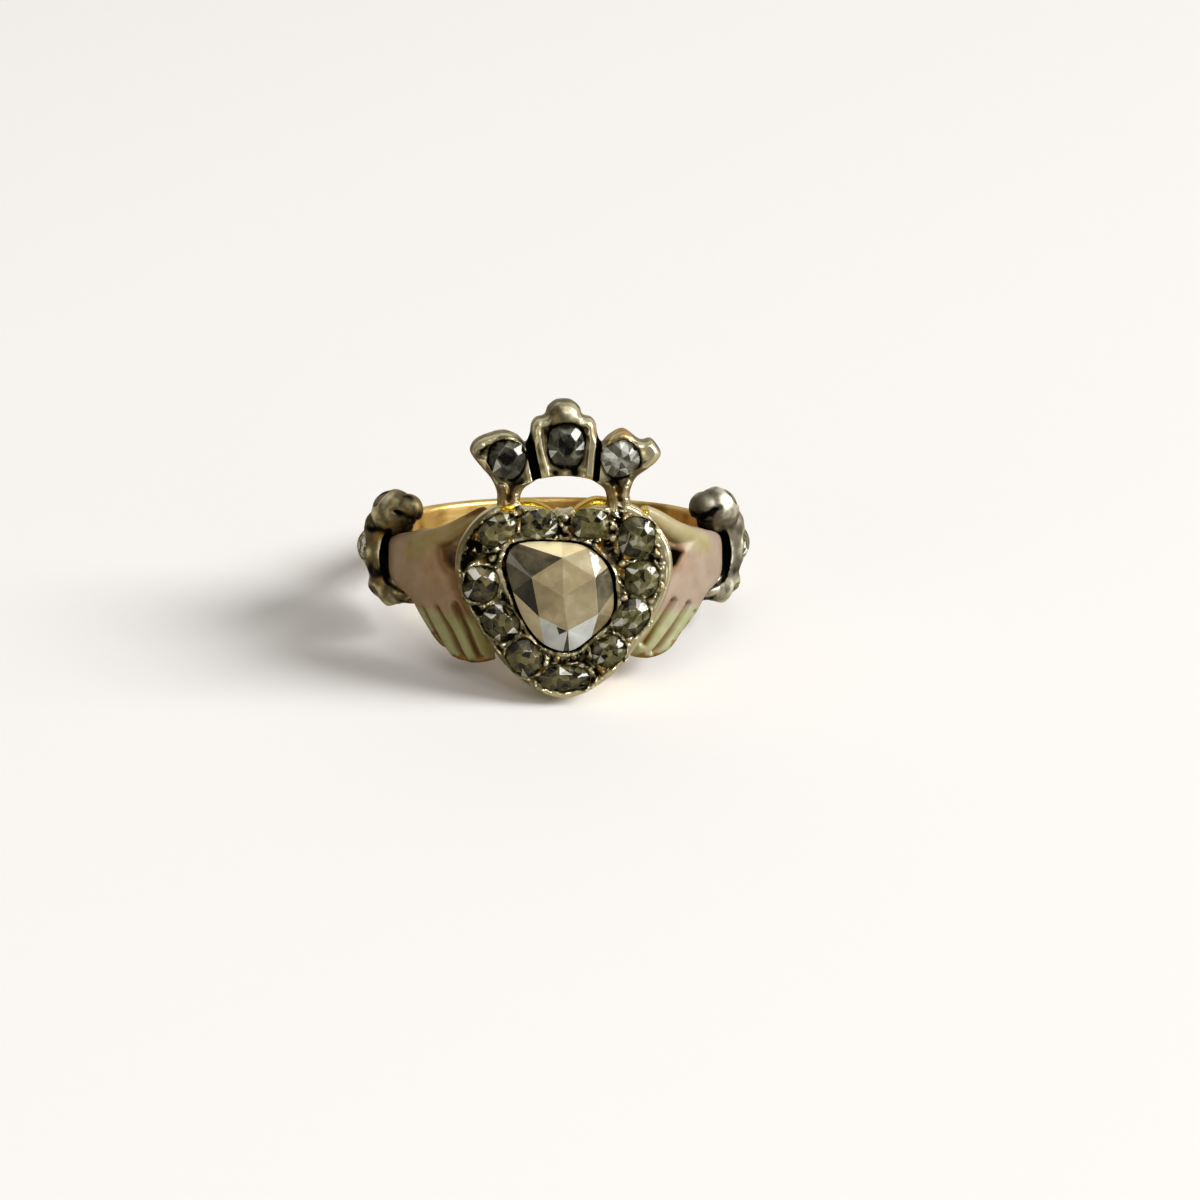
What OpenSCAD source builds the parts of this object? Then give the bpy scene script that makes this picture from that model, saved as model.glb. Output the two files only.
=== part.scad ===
// Fede ring: two enamelled hands come out of stone-set cuffs and hold a crowned heart.
// It is modelled about the finger hole, with the heart towards -Y and the crown
// towards +Z, and rest_pose() then leans it back onto the tip of the heart and the
// back of the band, as it lies on a table. Lengths are in millimetres.

/* [Band] */
// Radius of the finger hole
bore_r = 8.3; // [7.8:0.1:8.6]
// Width of the band along the finger
band_w = 2.25; // [1.8:0.05:2.5]
// Thickness of the band at its middle
band_t = 0.95; // [0.8:0.05:1]

/* [Heart] */
// Distance from the finger's axis to the heart's gold back plate
heart_back = 9; // [8.9:0.1:9.1]
// Thickness of the gold back plate
plate_t = 1.1; // [0.9:0.1:1.3]
// Height of the silver setting in front of the back plate
setting_t = 1.2; // [1:0.1:1.4]
// Height of the rim above the deck that the stones sit in
rim_h = 0.25; // [0.1:0.05:0.35]
// Width of the rim round the heart
rim_w = 0.32; // [0.25:0.01:0.4]
// How far the back plate lies inside the setting's outline
plate_inset = 0.22; // [0.1:0.02:0.3]

/* [Crown] */
// Thickness of the crown's plate
crown_t = 0.95; // [0.8:0.05:1.1]
// Height of the crown's settings in front of its plate
crown_relief = 0.35; // [0.2:0.05:0.5]
// Radius of the knob on top
knob_r = 0.8; // [0.7:0.02:0.85]

/* [Cuffs] */
// Angle from the heart round the band to the middle of a cuff
cuff_at = 78; // [76:1:80]
// Radius of each of the three lobes that hold a cuff's stones
lobe_r = 1.12; // [1:0.02:1.2]
// Radius of the curl at the upper end of a cuff
curl_r = 0.95; // [0.8:0.05:1]

/* [Hands] */
// Height of the back of the hand above the band
hand_t = 1; // [0.8:0.05:1.1]
// Depth of the grooves between the fingers
groove = 0.3; // [0.1:0.05:0.4]
// How much further round and down the left hand's fingers reach than the right's
left_reach = 2; // [0:0.5:3]

/* [Stones] */
// Clearance between a stone and its seat, and between a hand and the metal
gap = 0.04; // [0.03:0.01:0.06]
// Height of a halo stone's crown above its girdle
halo_crown = 0.5; // [0.3:0.05:0.6]
// Depth of a halo stone below its girdle
halo_depth = 0.7; // [0.5:0.05:0.75]
// Height of the centre stone's apex above its girdle
rose_h = 1.15; // [0.8:0.05:1.3]
// Depth of the centre stone's flat back below the deck
rose_sunk = 0.4; // [0.3:0.05:0.6]

/* [Hidden] */
halo_count = 11;
sides = ["left", "right"];
crown_names = ["left", "centre", "right"];
lobe_names = ["top", "middle", "bottom"];

gold = "goldenrod";
silver = "silver";
enamel = "rosybrown";
gem = "lightslategray";

// Depths, measured from the finger's axis towards the viewer
plate_front = heart_back + plate_t;
deck = plate_front + setting_t;
rim_front = deck + rim_h;
crown_back = deck - crown_t - 0.15;
crown_front = crown_back + crown_t;
band_r = bore_r + band_t;

// Right half of the heart's outline, from the cleft round to the tip: [x, z]
heart_half = [
    [0, 3.25], [0.6, 3.42], [1.6, 3.75], [3, 3.68], [4.35, 2.95], [5.3, 1.7],
    [5.6, 0.4], [5.38, -0.95], [4.8, -2.2], [3.95, -3.6], [2.85, -4.98],
    [1.5, -6.05], [0, -6.55]
];
// Right half of the crown's outline, from under the arch round to the top: [x, z]
crown_half = [
    [0, 5], [1.1, 4.88], [1.85, 4.52], [2.25, 4], [2.3, 3.2], [3.5, 3.2],
    [3.42, 4], [3.78, 4.9], [4.25, 5.7], [4.8, 6.3], [4.85, 6.7], [4.4, 6.95],
    [3.9, 7.12], [3.15, 7.45], [2.4, 7.2], [1.95, 6.7], [1.72, 7.2], [1.66, 7.75],
    [1.3, 8.05], [0.6, 8.2]
];
// Beads on the right half of the crown's front: [x, z, radius]
crown_beads = [[4.42, 6.6, 0.42], [3.2, 7.05, 0.4], [1.32, 7.7, 0.38], [0, 5.35, 0.3]];
knob_z = 8.2;
// Depth of the crown's seats and recesses behind its front
crown_sunk = 0.4;
// Width of the metal round a crown stone
collet_w = 0.3;
// The dark recess between two of the crown's settings: [x, z]
crown_recess = [[1.6, 5.25], [1.95, 5], [2.05, 6.4], [1.95, 7.3], [1.72, 7.3]];
// Halo stones, clockwise from the upper left: [x, z, length, width, turn]
halo = [
    [-3.42, 2.3, 1.95, 1.3, 32], [-1.3, 2.58, 1.75, 1.35, 0],
    [1.36, 2.58, 1.7, 1.4, 0], [3.75, 1.86, 1.95, 1.7, 80],
    [4.1, -0.28, 1.75, 1.65, 0], [3.5, -2.35, 1.85, 1.5, 50],
    [2.35, -4.12, 1.6, 1.35, 35], [0.02, -5.52, 2.4, 1.2, 0],
    [-2.05, -4.4, 1.8, 1.55, -50], [-3.3, -2.55, 1.8, 1.5, -40],
    [-4.3, -0.5, 1.7, 1.6, 80]
];
// Grains of metal raised between the stones: [x, z, radius]
grains = [
    [0.03, 2.35, 0.22], [0.03, 2.85, 0.2], [2.58, 3.05, 0.22], [2.55, 2.45, 0.24],
    [2.5, 1.85, 0.24], [2.75, 1.2, 0.22], [4.75, 0.95, 0.2], [2.98, 0.5, 0.22],
    [3.05, -0.15, 0.2], [3.1, -1.3, 0.22], [4.5, -1.45, 0.2], [3.35, -3.45, 0.18],
    [1.45, -5.05, 0.22], [-0.98, -4.72, 0.2], [-3.2, -3.75, 0.2], [-4.3, -1.75, 0.2],
    [-3.35, -1.1, 0.2], [-4.55, 1.2, 0.24], [-3.55, 1.3, 0.2], [-2.35, 3.15, 0.2],
    [-2.4, 2.3, 0.2], [1.35, -4.35, 0.2]
];
// Crown stones, left to right: [x, z, length, width, turn]
crown_stones = [
    [-2.98, 6.05, 1.65, 1.5, 75], [0.08, 6.75, 1.95, 1.75, 90], [2.98, 6.05, 1.65, 1.5, 105]
];
// Rose cut of the centre stone: its apex, the corners of its star, and the girdle
// points beside the corners and between them: [x, z]
rose_apex = [-0.13, -1];
rose_star = [
    [-1.74, -0.04], [-0.13, 0.97], [1.54, -0.07], [1.7, -1.98], [0.13, -2.83], [-1.36, -2.07]
];
rose_beside = [
    [-3, 0.65], [-0.13, 1.66], [2.2, 0.3], [2.3, -2.3], [0.3, -3.95], [-2.05, -2.5]
];
rose_between = [
    [-2.35, 1.6], [1.25, 1.35], [2.55, -1], [1.4, -3.35], [-1.05, -3.7], [-2.68, -0.9]
];

// Rows across a hand, from the wrist to the fingertips, on the unrolled band:
// [angle and height at the lower edge, angle and height at the upper edge]
hand_rows = [
    [69.5, -1.9, 69.5, 1.1], [62, -2.05, 58, 1.3], [54.5, -2.25, 42, 1.5],
    [48.5, -2.95, 28, -1.5], [42.5, -3.85, 23.5, -3.1], [36.5, -4.5, 20.5, -4.75]
];
hand_steps = 15;
hand_across = 16;
// Thumb, from its root to its tip: [angle, height, radius]
thumb = [[50, 0.7, 0.5], [43, 1.15, 0.6], [36, 1.55, 0.55], [29, 2.35, 0.48], [24, 3, 0.4]];
thumb_sides = 10;

// Sections along a cuff, from its mouth to its tail:
// [angle, outermost radius, half height, how far its ends lean forward]
cuff_rows = [
    [-9.5, 10.4, 2.7, 8], [-6.5, 10.6, 2.85, 7], [-1, 10.55, 2.85, 5], [5, 10.1, 2.4, 2],
    [11, 9.5, 1.5, 0], [15, 9.05, 0.85, 0]
];
cuff_across = 13;
// The wrist's hole in a cuff, in the plane through the finger's axis: [radius, z]
mouth = [
    [8, -2.45], [9.3, -2.4], [9.9, -1.8], [10.1, -0.5], [9.95, 0.9], [9.4, 1.4], [8, 1.45]
];
mouth_from = -24;
mouth_to = -3.5;
// The three lobes, from the top: [angle, radius and height of the centre, upward tilt]
lobes = [[-9, 9.4, 2.1, 50], [-1.5, 9.88, 0.1, 0], [-5.5, 9.45, -1.8, -45]];
cuff_stone = [1.4, 1.25];
stone_lean = 8;
// The curled ends of a cuff: [angle, radius and height of the centre, share of curl_r]
curls = [[-16, 9.1, 2.4, 1], [-15.5, 9.35, -2.6, 0.42]];

// The band's outside is a circle of this radius in section, which meets the band's
// edges at band_edge from the finger's axis.
band_round = band_w * 0.75;
band_edge = band_r - band_round + sqrt(pow(band_round, 2) - pow(band_w / 2, 2));

// The ring rests on the tip of the heart and the lower edge of the band's back.
tip_z = heart_half[len(heart_half) - 1][1];
lean = max(
    atan((-band_w / 2 - tip_z - plate_inset) / (band_edge + heart_back)),
    atan((-band_w / 2 - tip_z) / (band_edge + plate_front))
);

function mirrored(half) = concat(
    half,
    [for (i = [len(half) - 1:-1:0]) if (half[i][0] > 0.01) [-half[i][0], half[i][1]]]
);

// A point on the smooth curve through four points, t of the way from b to c
function blend(a, b, c, d, t) =
    ((-a + 3 * b - 3 * c + d) * pow(t, 3) + (2 * a - 5 * b + 4 * c - d) * pow(t, 2)
    + (c - a) * t + 2 * b) / 2;

// A smooth closed curve through the points, with a number of steps between each two
function smooth_loop(p, steps) = let (n = len(p)) [
    for (i = [0:n - 1]) for (k = [0:steps - 1])
        blend(p[(i + n - 1) % n], p[i], p[(i + 1) % n], p[(i + 2) % n], k / steps)
];

// A value read from a smooth open curve through the rows, t from 0 to 1
function along(rows, t) = let (
    last = len(rows) - 1,
    i = min(floor(t * last), last - 1)
) blend(rows[max(i - 1, 0)], rows[i], rows[i + 1], rows[min(i + 2, last)], t * last - i);

// The outline moved inwards by d along its own normals
function inset(p, d) = let (n = len(p)) [
    for (i = [0:n - 1]) let (
        t = p[(i + 1) % n] - p[(i + n - 1) % n],
        u = t / norm(t)
    ) p[i] + d * [u[1], -u[0]]
];

// A place on the unrolled band: angle from the heart, height and radius
function place(angle, z, r) = [r * sin(angle), -r * cos(angle), z];

// Closed outline of a cushion-shaped stone
function cushion(length, width, count) = [
    for (i = [0:count - 1]) let (
        a = (i + 0.5) * 360 / count,
        k = pow(pow(abs(cos(a)), 2.6) + pow(abs(sin(a)), 2.6), -1 / 2.6)
    ) [length / 2 * k * cos(a), width / 2 * k * sin(a)]
];

// A solid skinned over loops that all have the same even number of points
module skin(loops) {
    n = len(loops[0]);
    rows = len(loops);
    last = (rows - 1) * n;
    wall = [
        for (i = [0:rows - 2]) for (j = [0:n - 1]) let (
            a = i * n + j,
            b = i * n + (j + 1) % n
        ) each [[a, b, b + n], [a, b + n, a + n]]
    ];
    caps = [
        for (k = [0:n / 2 - 2]) each [
            [k, n - 1 - k, k + 1], [k + 1, n - 1 - k, n - 2 - k],
            [last + k, last + k + 1, last + n - 1 - k],
            [last + k + 1, last + n - 2 - k, last + n - 1 - k]
        ]
    ];
    polyhedron([for (l = loops) each l], concat(wall, caps));
}

// Draws a flat outline in the heart's plane, solid between two depths
module face(back, front) {
    translate([0, -back, 0]) rotate([90, 0, 0]) linear_extrude(front - back) children();
}

module rest_pose() {
    rotate([-lean, 0, 0]) children();
}

module band() {
    rotate_extrude($fn = 96) intersection() {
        translate([bore_r, -band_w / 2]) square([band_t, band_w]);
        translate([band_r - band_round, 0]) circle(r = band_round, $fn = 64);
    }
}

// The outline of a stone's seat, grown by the clearance
module seat_shape(s) {
    translate([s[0], s[1]]) rotate(s[4])
        polygon(cushion(s[2] + 2 * gap, s[3] + 2 * gap, 16));
}

module heart_setting() {
    outline = smooth_loop(mirrored(heart_half), 4);
    rose = [for (i = [0:5]) each [rose_beside[i], rose_between[i]]];
    difference() {
        union() {
            face(heart_back, plate_front) polygon(inset(outline, plate_inset));
            face(plate_front, deck) polygon(outline);
            face(deck - 0.1, rim_front) difference() {
                polygon(outline);
                polygon(inset(outline, rim_w));
            }
            for (g = grains) translate([g[0], -deck, g[1]]) sphere(r = g[2], $fn = 16);
        }
        face(deck - halo_depth - 0.1, rim_front + 1) for (s = halo) seat_shape(s);
        face(deck - rose_sunk - gap, rim_front + 1) polygon(inset(rose, -gap));
    }
}

module crown() {
    outline = smooth_loop(mirrored(crown_half), 3);
    difference() {
        union() {
            face(crown_back, crown_front) polygon(outline);
            for (s = crown_stones) face(crown_back, crown_front + crown_relief)
                translate([s[0], s[1]]) rotate(s[4])
                    polygon(cushion(s[2] + 2 * collet_w, s[3] + 2 * collet_w, 16));
            translate([0, -crown_front, knob_z]) sphere(r = knob_r, $fn = 32);
            for (b = crown_beads) for (side = b[0] > 0 ? [-1, 1] : [1])
                translate([side * b[0], -crown_front, b[1]]) sphere(r = b[2], $fn = 24);
        }
        face(crown_front - crown_sunk, crown_front + 1) for (s = crown_stones) seat_shape(s);
        face(crown_front - crown_sunk, crown_front + 1) for (side = [-1, 1])
            polygon([for (p = crown_recess) [side * p[0], p[1]]]);
    }
}

// One cross-section of a cuff: an arch from bottom to top, closed along the finger side
function cuff_section(row) = let (
    inner = bore_r + 0.3,
    arch = [
        for (k = [0:cuff_across - 1]) let (a = -90 + 180 * k / (cuff_across - 1))
            [inner + (row[1] - inner) * pow(cos(a) + 0.0001, 0.8), row[2] * sin(a)]
    ],
    back = [for (k = [cuff_across - 1:-1:0]) [inner - 0.05, arch[k][1] * 0.98]]
) [
    for (q = concat(arch, back))
        place(cuff_at + row[0] - row[3] * pow(q[1] / row[2], 2), q[1], q[0])
];

// Moves a shape to a cuff's lobe, with +Z pointing out of the lobe's stone
module at_lobe(lobe) {
    angle = cuff_at + lobe[0];
    translate(place(angle, lobe[2], lobe[1]))
        rotate([0, 0, angle - stone_lean - 90])
        rotate([0, 90 - lobe[3], 0])
        children();
}

// Built on the right; the left cuff is its mirror image
module cuff() {
    difference() {
        union() {
            skin([for (row = cuff_rows) cuff_section(row)]);
            for (lobe = lobes) at_lobe(lobe) sphere(r = lobe_r, $fn = 32);
            for (c = curls) translate(place(cuff_at + c[0], c[2], c[1]))
                sphere(r = curl_r * c[3], $fn = 32);
        }
        rotate([0, 0, cuff_at - 90 + mouth_from])
            rotate_extrude(angle = mouth_to - mouth_from, $fn = 96) polygon(mouth);
        cylinder(r = bore_r + 0.15, h = 10, center = true, $fn = 96);
        for (lobe = lobes) at_lobe(lobe) translate([0, 0, lobe_r - 0.55]) linear_extrude(1)
            polygon(cushion(cuff_stone[0] + 2 * gap, cuff_stone[1] + 2 * gap, 16));
    }
}

module ring_mount() {
    color(gold) band();
    color(silver) {
        heart_setting();
        crown();
        cuff();
        mirror([1, 0, 0]) cuff();
    }
}

// Height of the hand's surface above the band, t along it and v across it
function hand_height(t, v) = let (
    edge = pow(1 - pow(abs(2 * v - 1), 4), 0.6),
    rise = 0.25 + 0.75 * sin(min(t / 0.45, 1) * 90),
    tip = sqrt(1 - pow(max(t - 0.85, 0) / 0.17, 2)),
    valley = pow(abs(cos(v * 720)), 6) * min(max(t - 0.45, 0) / 0.12, 1)
) 0.25 + edge * tip * ((hand_t - 0.13) * rise - groove * valley);

function hand_loop(t, reach) = let (
    row = along(hand_rows, t) + reach * max(2 * t - 1, 0) * [1, -0.05, 0.3, -0.1],
    inner = band_r + gap,
    spots = [
        for (j = [0:hand_across]) let (v = j / hand_across, sag = 0.35 * t * t * sin(v * 180))
            [row[0] + (row[2] - row[0]) * v, row[1] + (row[3] - row[1]) * v - sag, v]
    ]
) concat(
    [for (s = spots) place(s[0], s[1], inner + hand_height(t, s[2]))],
    [for (j = [hand_across:-1:0]) place(spots[j][0], spots[j][1], inner)]
);

module thumb_shape() {
    steps = 9;
    skin([
        for (i = [0:steps]) let (
            p = along(thumb, i / steps),
            q = along(thumb, min(i / steps + 0.02, 1)) - along(thumb, min(i / steps, 0.98)),
            r = p[2] * (i == steps ? 0.5 : 1),
            mid = band_r + gap + 0.9 * thumb[1][2],
            turn = atan2(q[1], -q[0] * mid * PI / 180)
        ) [
            for (k = [0:thumb_sides - 1]) let (
                a = 360 * k / thumb_sides,
                across = r * cos(a)
            ) place(p[0] + across * sin(turn) / mid * 180 / PI, p[1] + across * cos(turn),
                    mid + 0.9 * r * sin(a))
        ]
    ]);
}

// Built on the right; the left hand is its mirror image, with a further reach
module hand(reach) {
    outline = inset(smooth_loop(mirrored(heart_half), 4), -gap);
    color(enamel) difference() {
        union() {
            skin([for (i = [hand_steps:-1:0]) hand_loop(i / hand_steps, reach)]);
            thumb_shape();
        }
        face(heart_back - gap, rim_front + 1) polygon(outline);
    }
}

// A faceted stone: a table, 24 crown facets, a girdle and a pavilion
module cut_stone(length, width, crown_h, depth) {
    girdle = cushion(length, width, 16);
    table = [for (i = [0:7]) (girdle[2 * i] + girdle[2 * i + 1]) / 2 * 0.56];
    points = concat(
        [for (p = table) [p[0], p[1], crown_h]],
        [for (p = girdle) [p[0], p[1], 0.05]],
        [for (p = girdle) [p[0], p[1], -0.05]],
        [[0, 0, -depth]]
    );
    crown_facets = [
        for (i = [0:7]) let (a = 8 + 2 * i, b = a + 1, c = 8 + (2 * i + 2) % 16, next = (i + 1) % 8)
            each [[i, b, a], [i, c, b], [i, next, c]]
    ];
    wall = [
        for (i = [0:15]) let (a = 8 + i, b = 8 + (i + 1) % 16)
            each [[a, b, b + 16], [a, b + 16, a + 16], [a + 16, b + 16, 40]]
    ];
    polyhedron(points, concat([[7, 6, 5, 4, 3, 2, 1, 0]], crown_facets, wall));
}

// Places a stone in the heart's plane, its table towards the viewer
module face_stone(s, girdle_at, crown_h, depth) {
    color(gem) translate([s[0], -girdle_at, s[1]]) rotate([90, 0, 0]) rotate(s[4])
        cut_stone(s[2], s[3], crown_h, depth);
}

module centre_stone() {
    lift = deck + 0.1;
    flat = deck - rose_sunk;
    at = function (p, y) [p[0], -y, p[1]];
    points = concat(
        [at(rose_apex, lift + rose_h)],
        [for (p = rose_star) at(p, lift + rose_h * 0.72)],
        [for (p = rose_beside) at(p, lift)],
        [for (p = rose_between) at(p, lift)],
        [for (p = rose_beside) at(p, flat)],
        [for (p = rose_between) at(p, flat)]
    );
    facets = [
        for (i = [0:5]) let (n = (i + 1) % 6) each [
            [0, 1 + i, 1 + n], [1 + i, 13 + i, 1 + n],
            [1 + i, 7 + i, 13 + i], [1 + n, 13 + i, 7 + n],
            [7 + i, 19 + i, 25 + i], [7 + i, 25 + i, 13 + i],
            [13 + i, 25 + i, 19 + n], [13 + i, 19 + n, 7 + n]
        ]
    ];
    base = [for (i = [5:-1:0]) each [25 + i, 19 + i]];
    color(gem) polyhedron(points, concat(facets, [base]));
}

module cuff_stone_at(lobe) {
    color(gem) at_lobe(lobe) translate([0, 0, lobe_r - 0.12])
        cut_stone(cuff_stone[0], cuff_stone[1], 0.3, 0.35);
}

rest_pose() ring_mount();
rest_pose() mirror([1, 0, 0]) hand(left_reach);  // left_hand
rest_pose() hand(0);  // right_hand
rest_pose() centre_stone();
for (i = [0:halo_count - 1])
    rest_pose() face_stone(halo[i], deck - 0.02, halo_crown, halo_depth);
for (i = [0:2])
    rest_pose() face_stone(crown_stones[i], crown_front + 0.1, crown_sunk, crown_sunk);
for (k = [0:2]) {
    rest_pose() mirror([1, 0, 0]) cuff_stone_at(lobes[k]);
    rest_pose() cuff_stone_at(lobes[k]);
}
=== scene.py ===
# %% [markdown]
# # A crowned fede ring
# On the real ring a rose-gold band carries two enamelled hands that come out of
# stone-set cuffs and hold a crowned heart. The heart, the crown and the cuffs are
# cast or built up in silver, darkened by age, and soldered over gold. This lesson
# builds every visible piece as a surface worked out with numpy around the packed
# frame, because such a surface can be written down as a short formula.

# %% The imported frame
import math

import bpy
import numpy as np
from mathutils import Matrix, Vector


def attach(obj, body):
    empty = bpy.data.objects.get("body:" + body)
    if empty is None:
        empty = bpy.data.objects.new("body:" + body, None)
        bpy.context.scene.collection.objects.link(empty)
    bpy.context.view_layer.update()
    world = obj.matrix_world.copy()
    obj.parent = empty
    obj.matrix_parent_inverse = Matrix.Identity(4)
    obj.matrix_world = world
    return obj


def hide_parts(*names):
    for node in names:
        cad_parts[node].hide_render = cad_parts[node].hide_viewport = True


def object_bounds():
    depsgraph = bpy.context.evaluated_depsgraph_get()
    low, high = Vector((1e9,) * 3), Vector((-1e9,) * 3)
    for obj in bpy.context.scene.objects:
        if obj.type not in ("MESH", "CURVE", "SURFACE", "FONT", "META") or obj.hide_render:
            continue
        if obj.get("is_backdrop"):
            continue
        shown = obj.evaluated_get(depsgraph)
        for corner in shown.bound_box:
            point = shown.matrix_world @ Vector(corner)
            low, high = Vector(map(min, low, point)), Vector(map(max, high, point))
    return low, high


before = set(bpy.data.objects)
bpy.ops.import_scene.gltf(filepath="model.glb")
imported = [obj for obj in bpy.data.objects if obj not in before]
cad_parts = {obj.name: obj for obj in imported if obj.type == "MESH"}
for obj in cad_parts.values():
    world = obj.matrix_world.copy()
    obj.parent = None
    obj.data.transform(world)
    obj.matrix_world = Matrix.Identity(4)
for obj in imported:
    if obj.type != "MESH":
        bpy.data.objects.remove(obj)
cad_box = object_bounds()
print("CAD nodes:", len(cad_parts), "- box from", cad_box[0], "to", cad_box[1])

# %% [markdown]
# ## The ring's own frame
# A ring is easiest to describe about its finger hole: X to the right, Y to the
# back, Z along the finger, lengths in millimetres, and the heart towards -Y. At
# rest it leans back onto the tip of the heart and the back of the band, so each
# finished mesh is turned by that lean and put in metres in one last step.

# %% Sizes and the lean at rest
BORE_R, BAND_W, BAND_T = 8.3, 2.25, 0.95
HEART_BACK, PLATE_T, SETTING_T, PLATE_INSET = 9.0, 1.1, 1.2, 0.22
BAND_R = BORE_R + BAND_T
BAND_ROUND = BAND_W * 0.75
PLATE_FRONT = HEART_BACK + PLATE_T
DECK = PLATE_FRONT + SETTING_T
TIP_Z = -6.55
band_edge = BAND_R - BAND_ROUND + math.sqrt(BAND_ROUND**2 - (BAND_W / 2) ** 2)
LEAN = max(
    math.atan((-BAND_W / 2 - TIP_Z - PLATE_INSET) / (band_edge + HEART_BACK)),
    math.atan((-BAND_W / 2 - TIP_Z) / (band_edge + PLATE_FRONT)),
)
MM = 0.001


def at_rest(points):
    """Points of the ring's own frame in millimetres, turned about X by the lean and
    put in metres: y' = y cos + z sin, z' = z cos - y sin."""
    x, y, z = np.moveaxis(np.asarray(points, float), -1, 0)
    c, s = math.cos(LEAN), math.sin(LEAN)
    return np.stack([x, c * y + s * z, c * z - s * y], -1) * MM


def place(angle, z, r):
    """Points on the unrolled band: angle in degrees from the heart, height, radius."""
    a = np.radians(angle)
    return np.stack(np.broadcast_arrays(r * np.sin(a), -r * np.cos(a), z), -1)


print("lean at rest:", round(math.degrees(LEAN), 3), "degrees")

# %% [markdown]
# ## The camera
# The photograph looks at the heart from a little above the ring's own plane and a
# few degrees to the left, from far enough away that little perspective shows. The
# camera is placed in the ring's own frame and takes the same lean as the ring.

# %% The photograph's view
DISTANCE, LENS, SENSOR, PIXELS = 160.0, 86.4, 36.0, 1200
ABOVE, ASIDE = math.radians(9), math.radians(3.2)
RING_PIXEL = (552, 539.3)  # where the middle of the finger hole falls

back = np.array(
    [-math.sin(ASIDE) * math.cos(ABOVE), -math.cos(ASIDE) * math.cos(ABOVE), math.sin(ABOVE)]
)
right = np.array([math.cos(ASIDE), -math.sin(ASIDE), 0.0])
turned = at_rest(np.array([right, np.cross(back, right), back])) / MM
eye = at_rest(back * DISTANCE)

camera = bpy.data.objects.new("photograph_view", bpy.data.cameras.new("photograph_view"))
bpy.context.scene.collection.objects.link(camera)
camera.data.lens, camera.data.sensor_width = LENS, SENSOR
camera.data.shift_x = 0.5 - RING_PIXEL[0] / PIXELS
camera.data.shift_y = RING_PIXEL[1] / PIXELS - 0.5
camera.data.clip_start, camera.data.clip_end = 0.01, 20
placed = np.eye(4)
placed[:3, :3], placed[:3, 3] = turned.T, eye
camera.matrix_world = Matrix(placed.tolist())
bpy.context.scene.camera = camera
print("camera at", np.round(eye, 4), "metres")

# %% [markdown]
# ## Curves
# A jeweller draws an outline through a few points by eye. A Catmull-Rom curve does
# the same: it passes through each given point, and its slope there is that from the
# point before to the point after.

# %% Smooth curves through points


def between(a, b, c, d, t):
    """Catmull-Rom: the cubic from b to c whose slopes are (c - a)/2 and (d - b)/2."""
    return (
        (-a + 3 * b - 3 * c + d) * t**3 + (2 * a - 5 * b + 4 * c - d) * t**2 + (c - a) * t + 2 * b
    ) / 2


def closed_curve(points, steps):
    """A smooth closed curve through the points, with some steps between each two."""
    p = np.asarray(points, float)
    a, b, c, d = (np.roll(p, k, 0)[:, None] for k in (1, 0, -1, -2))
    t = (np.arange(steps) / steps)[None, :, None]
    return between(a, b, c, d, t).reshape(-1, p.shape[1])


def open_curve(rows, t):
    """Values read from a smooth open curve through the rows, t from 0 to 1."""
    rows = np.asarray(rows, float)
    last = len(rows) - 1
    at = np.clip(t, 0, 1) * last
    i = np.minimum(at.astype(int), last - 1)
    a, b, c, d = (rows[np.clip(i + k, 0, last)] for k in (-1, 0, 1, 2))
    return between(a, b, c, d, (at - i)[..., None])


def mirrored(half):
    """The right half of an outline and its mirror image, as one closed loop."""
    half = np.asarray(half, float)
    other = half[::-1][half[::-1, 0] > 0.01]
    return np.vstack([half, other * [-1, 1]])


def evenly(loop, count):
    """The closed loop walked in equal steps."""
    ring = np.vstack([loop, loop[:1]])
    gone = np.concatenate([[0], np.cumsum(np.linalg.norm(np.diff(ring, axis=0), axis=1))])
    at = np.linspace(0, gone[-1], count, endpoint=False)
    return np.stack([np.interp(at, gone, ring[:, k]) for k in range(ring.shape[1])], -1)


def inwards(loop):
    """Unit normals of a closed clockwise loop, pointing to its inside."""
    t = np.roll(loop, -1, 0) - np.roll(loop, 1, 0)
    t /= np.linalg.norm(t, axis=1)[:, None]
    return np.stack([t[:, 1], -t[:, 0]], -1)


HEART_HALF = [
    [0, 3.25], [0.6, 3.42], [1.6, 3.75], [3, 3.68], [4.35, 2.95], [5.3, 1.7],
    [5.6, 0.4], [5.38, -0.95], [4.8, -2.2], [3.95, -3.6], [2.85, -4.98],
    [1.5, -6.05], [0, TIP_Z],
]
heart = closed_curve(mirrored(HEART_HALF), 12)
print("heart outline", np.round(np.ptp(heart, axis=0), 2), "mm")

# %% [markdown]
# ## From arrays to meshes
# Every surface here is a stack of closed loops with the same number of points. A
# skin joins neighbouring loops with quads and closes both ends on a middle point,
# so each piece is a closed shell, and the sign of its volume says which way its
# faces look.

# %% Skins and meshes


def skin(loops, closed=False):
    """Points and faces of a skin over loops [n, m, 3]; a closed stack joins its ends."""
    n, m = loops.shape[:2]
    i, j = np.meshgrid(np.arange(n if closed else n - 1), np.arange(m), indexing="ij")
    up, on = (i + 1) % n, (j + 1) % m
    quads = np.stack([i * m + j, i * m + on, up * m + on, up * m + j], -1).reshape(-1, 4)
    points = loops.reshape(-1, 3)
    if closed:
        return points, [quads]
    j = np.arange(m)
    on = (j + 1) % m
    first = np.stack([np.full(m, n * m), on, j], -1)
    last = np.stack([np.full(m, n * m + 1), (n - 1) * m + j, (n - 1) * m + on], -1)
    poles = [loops[0].mean(0), loops[-1].mean(0)]
    return np.vstack([points, poles]), [quads, np.vstack([first, last])]


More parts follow.
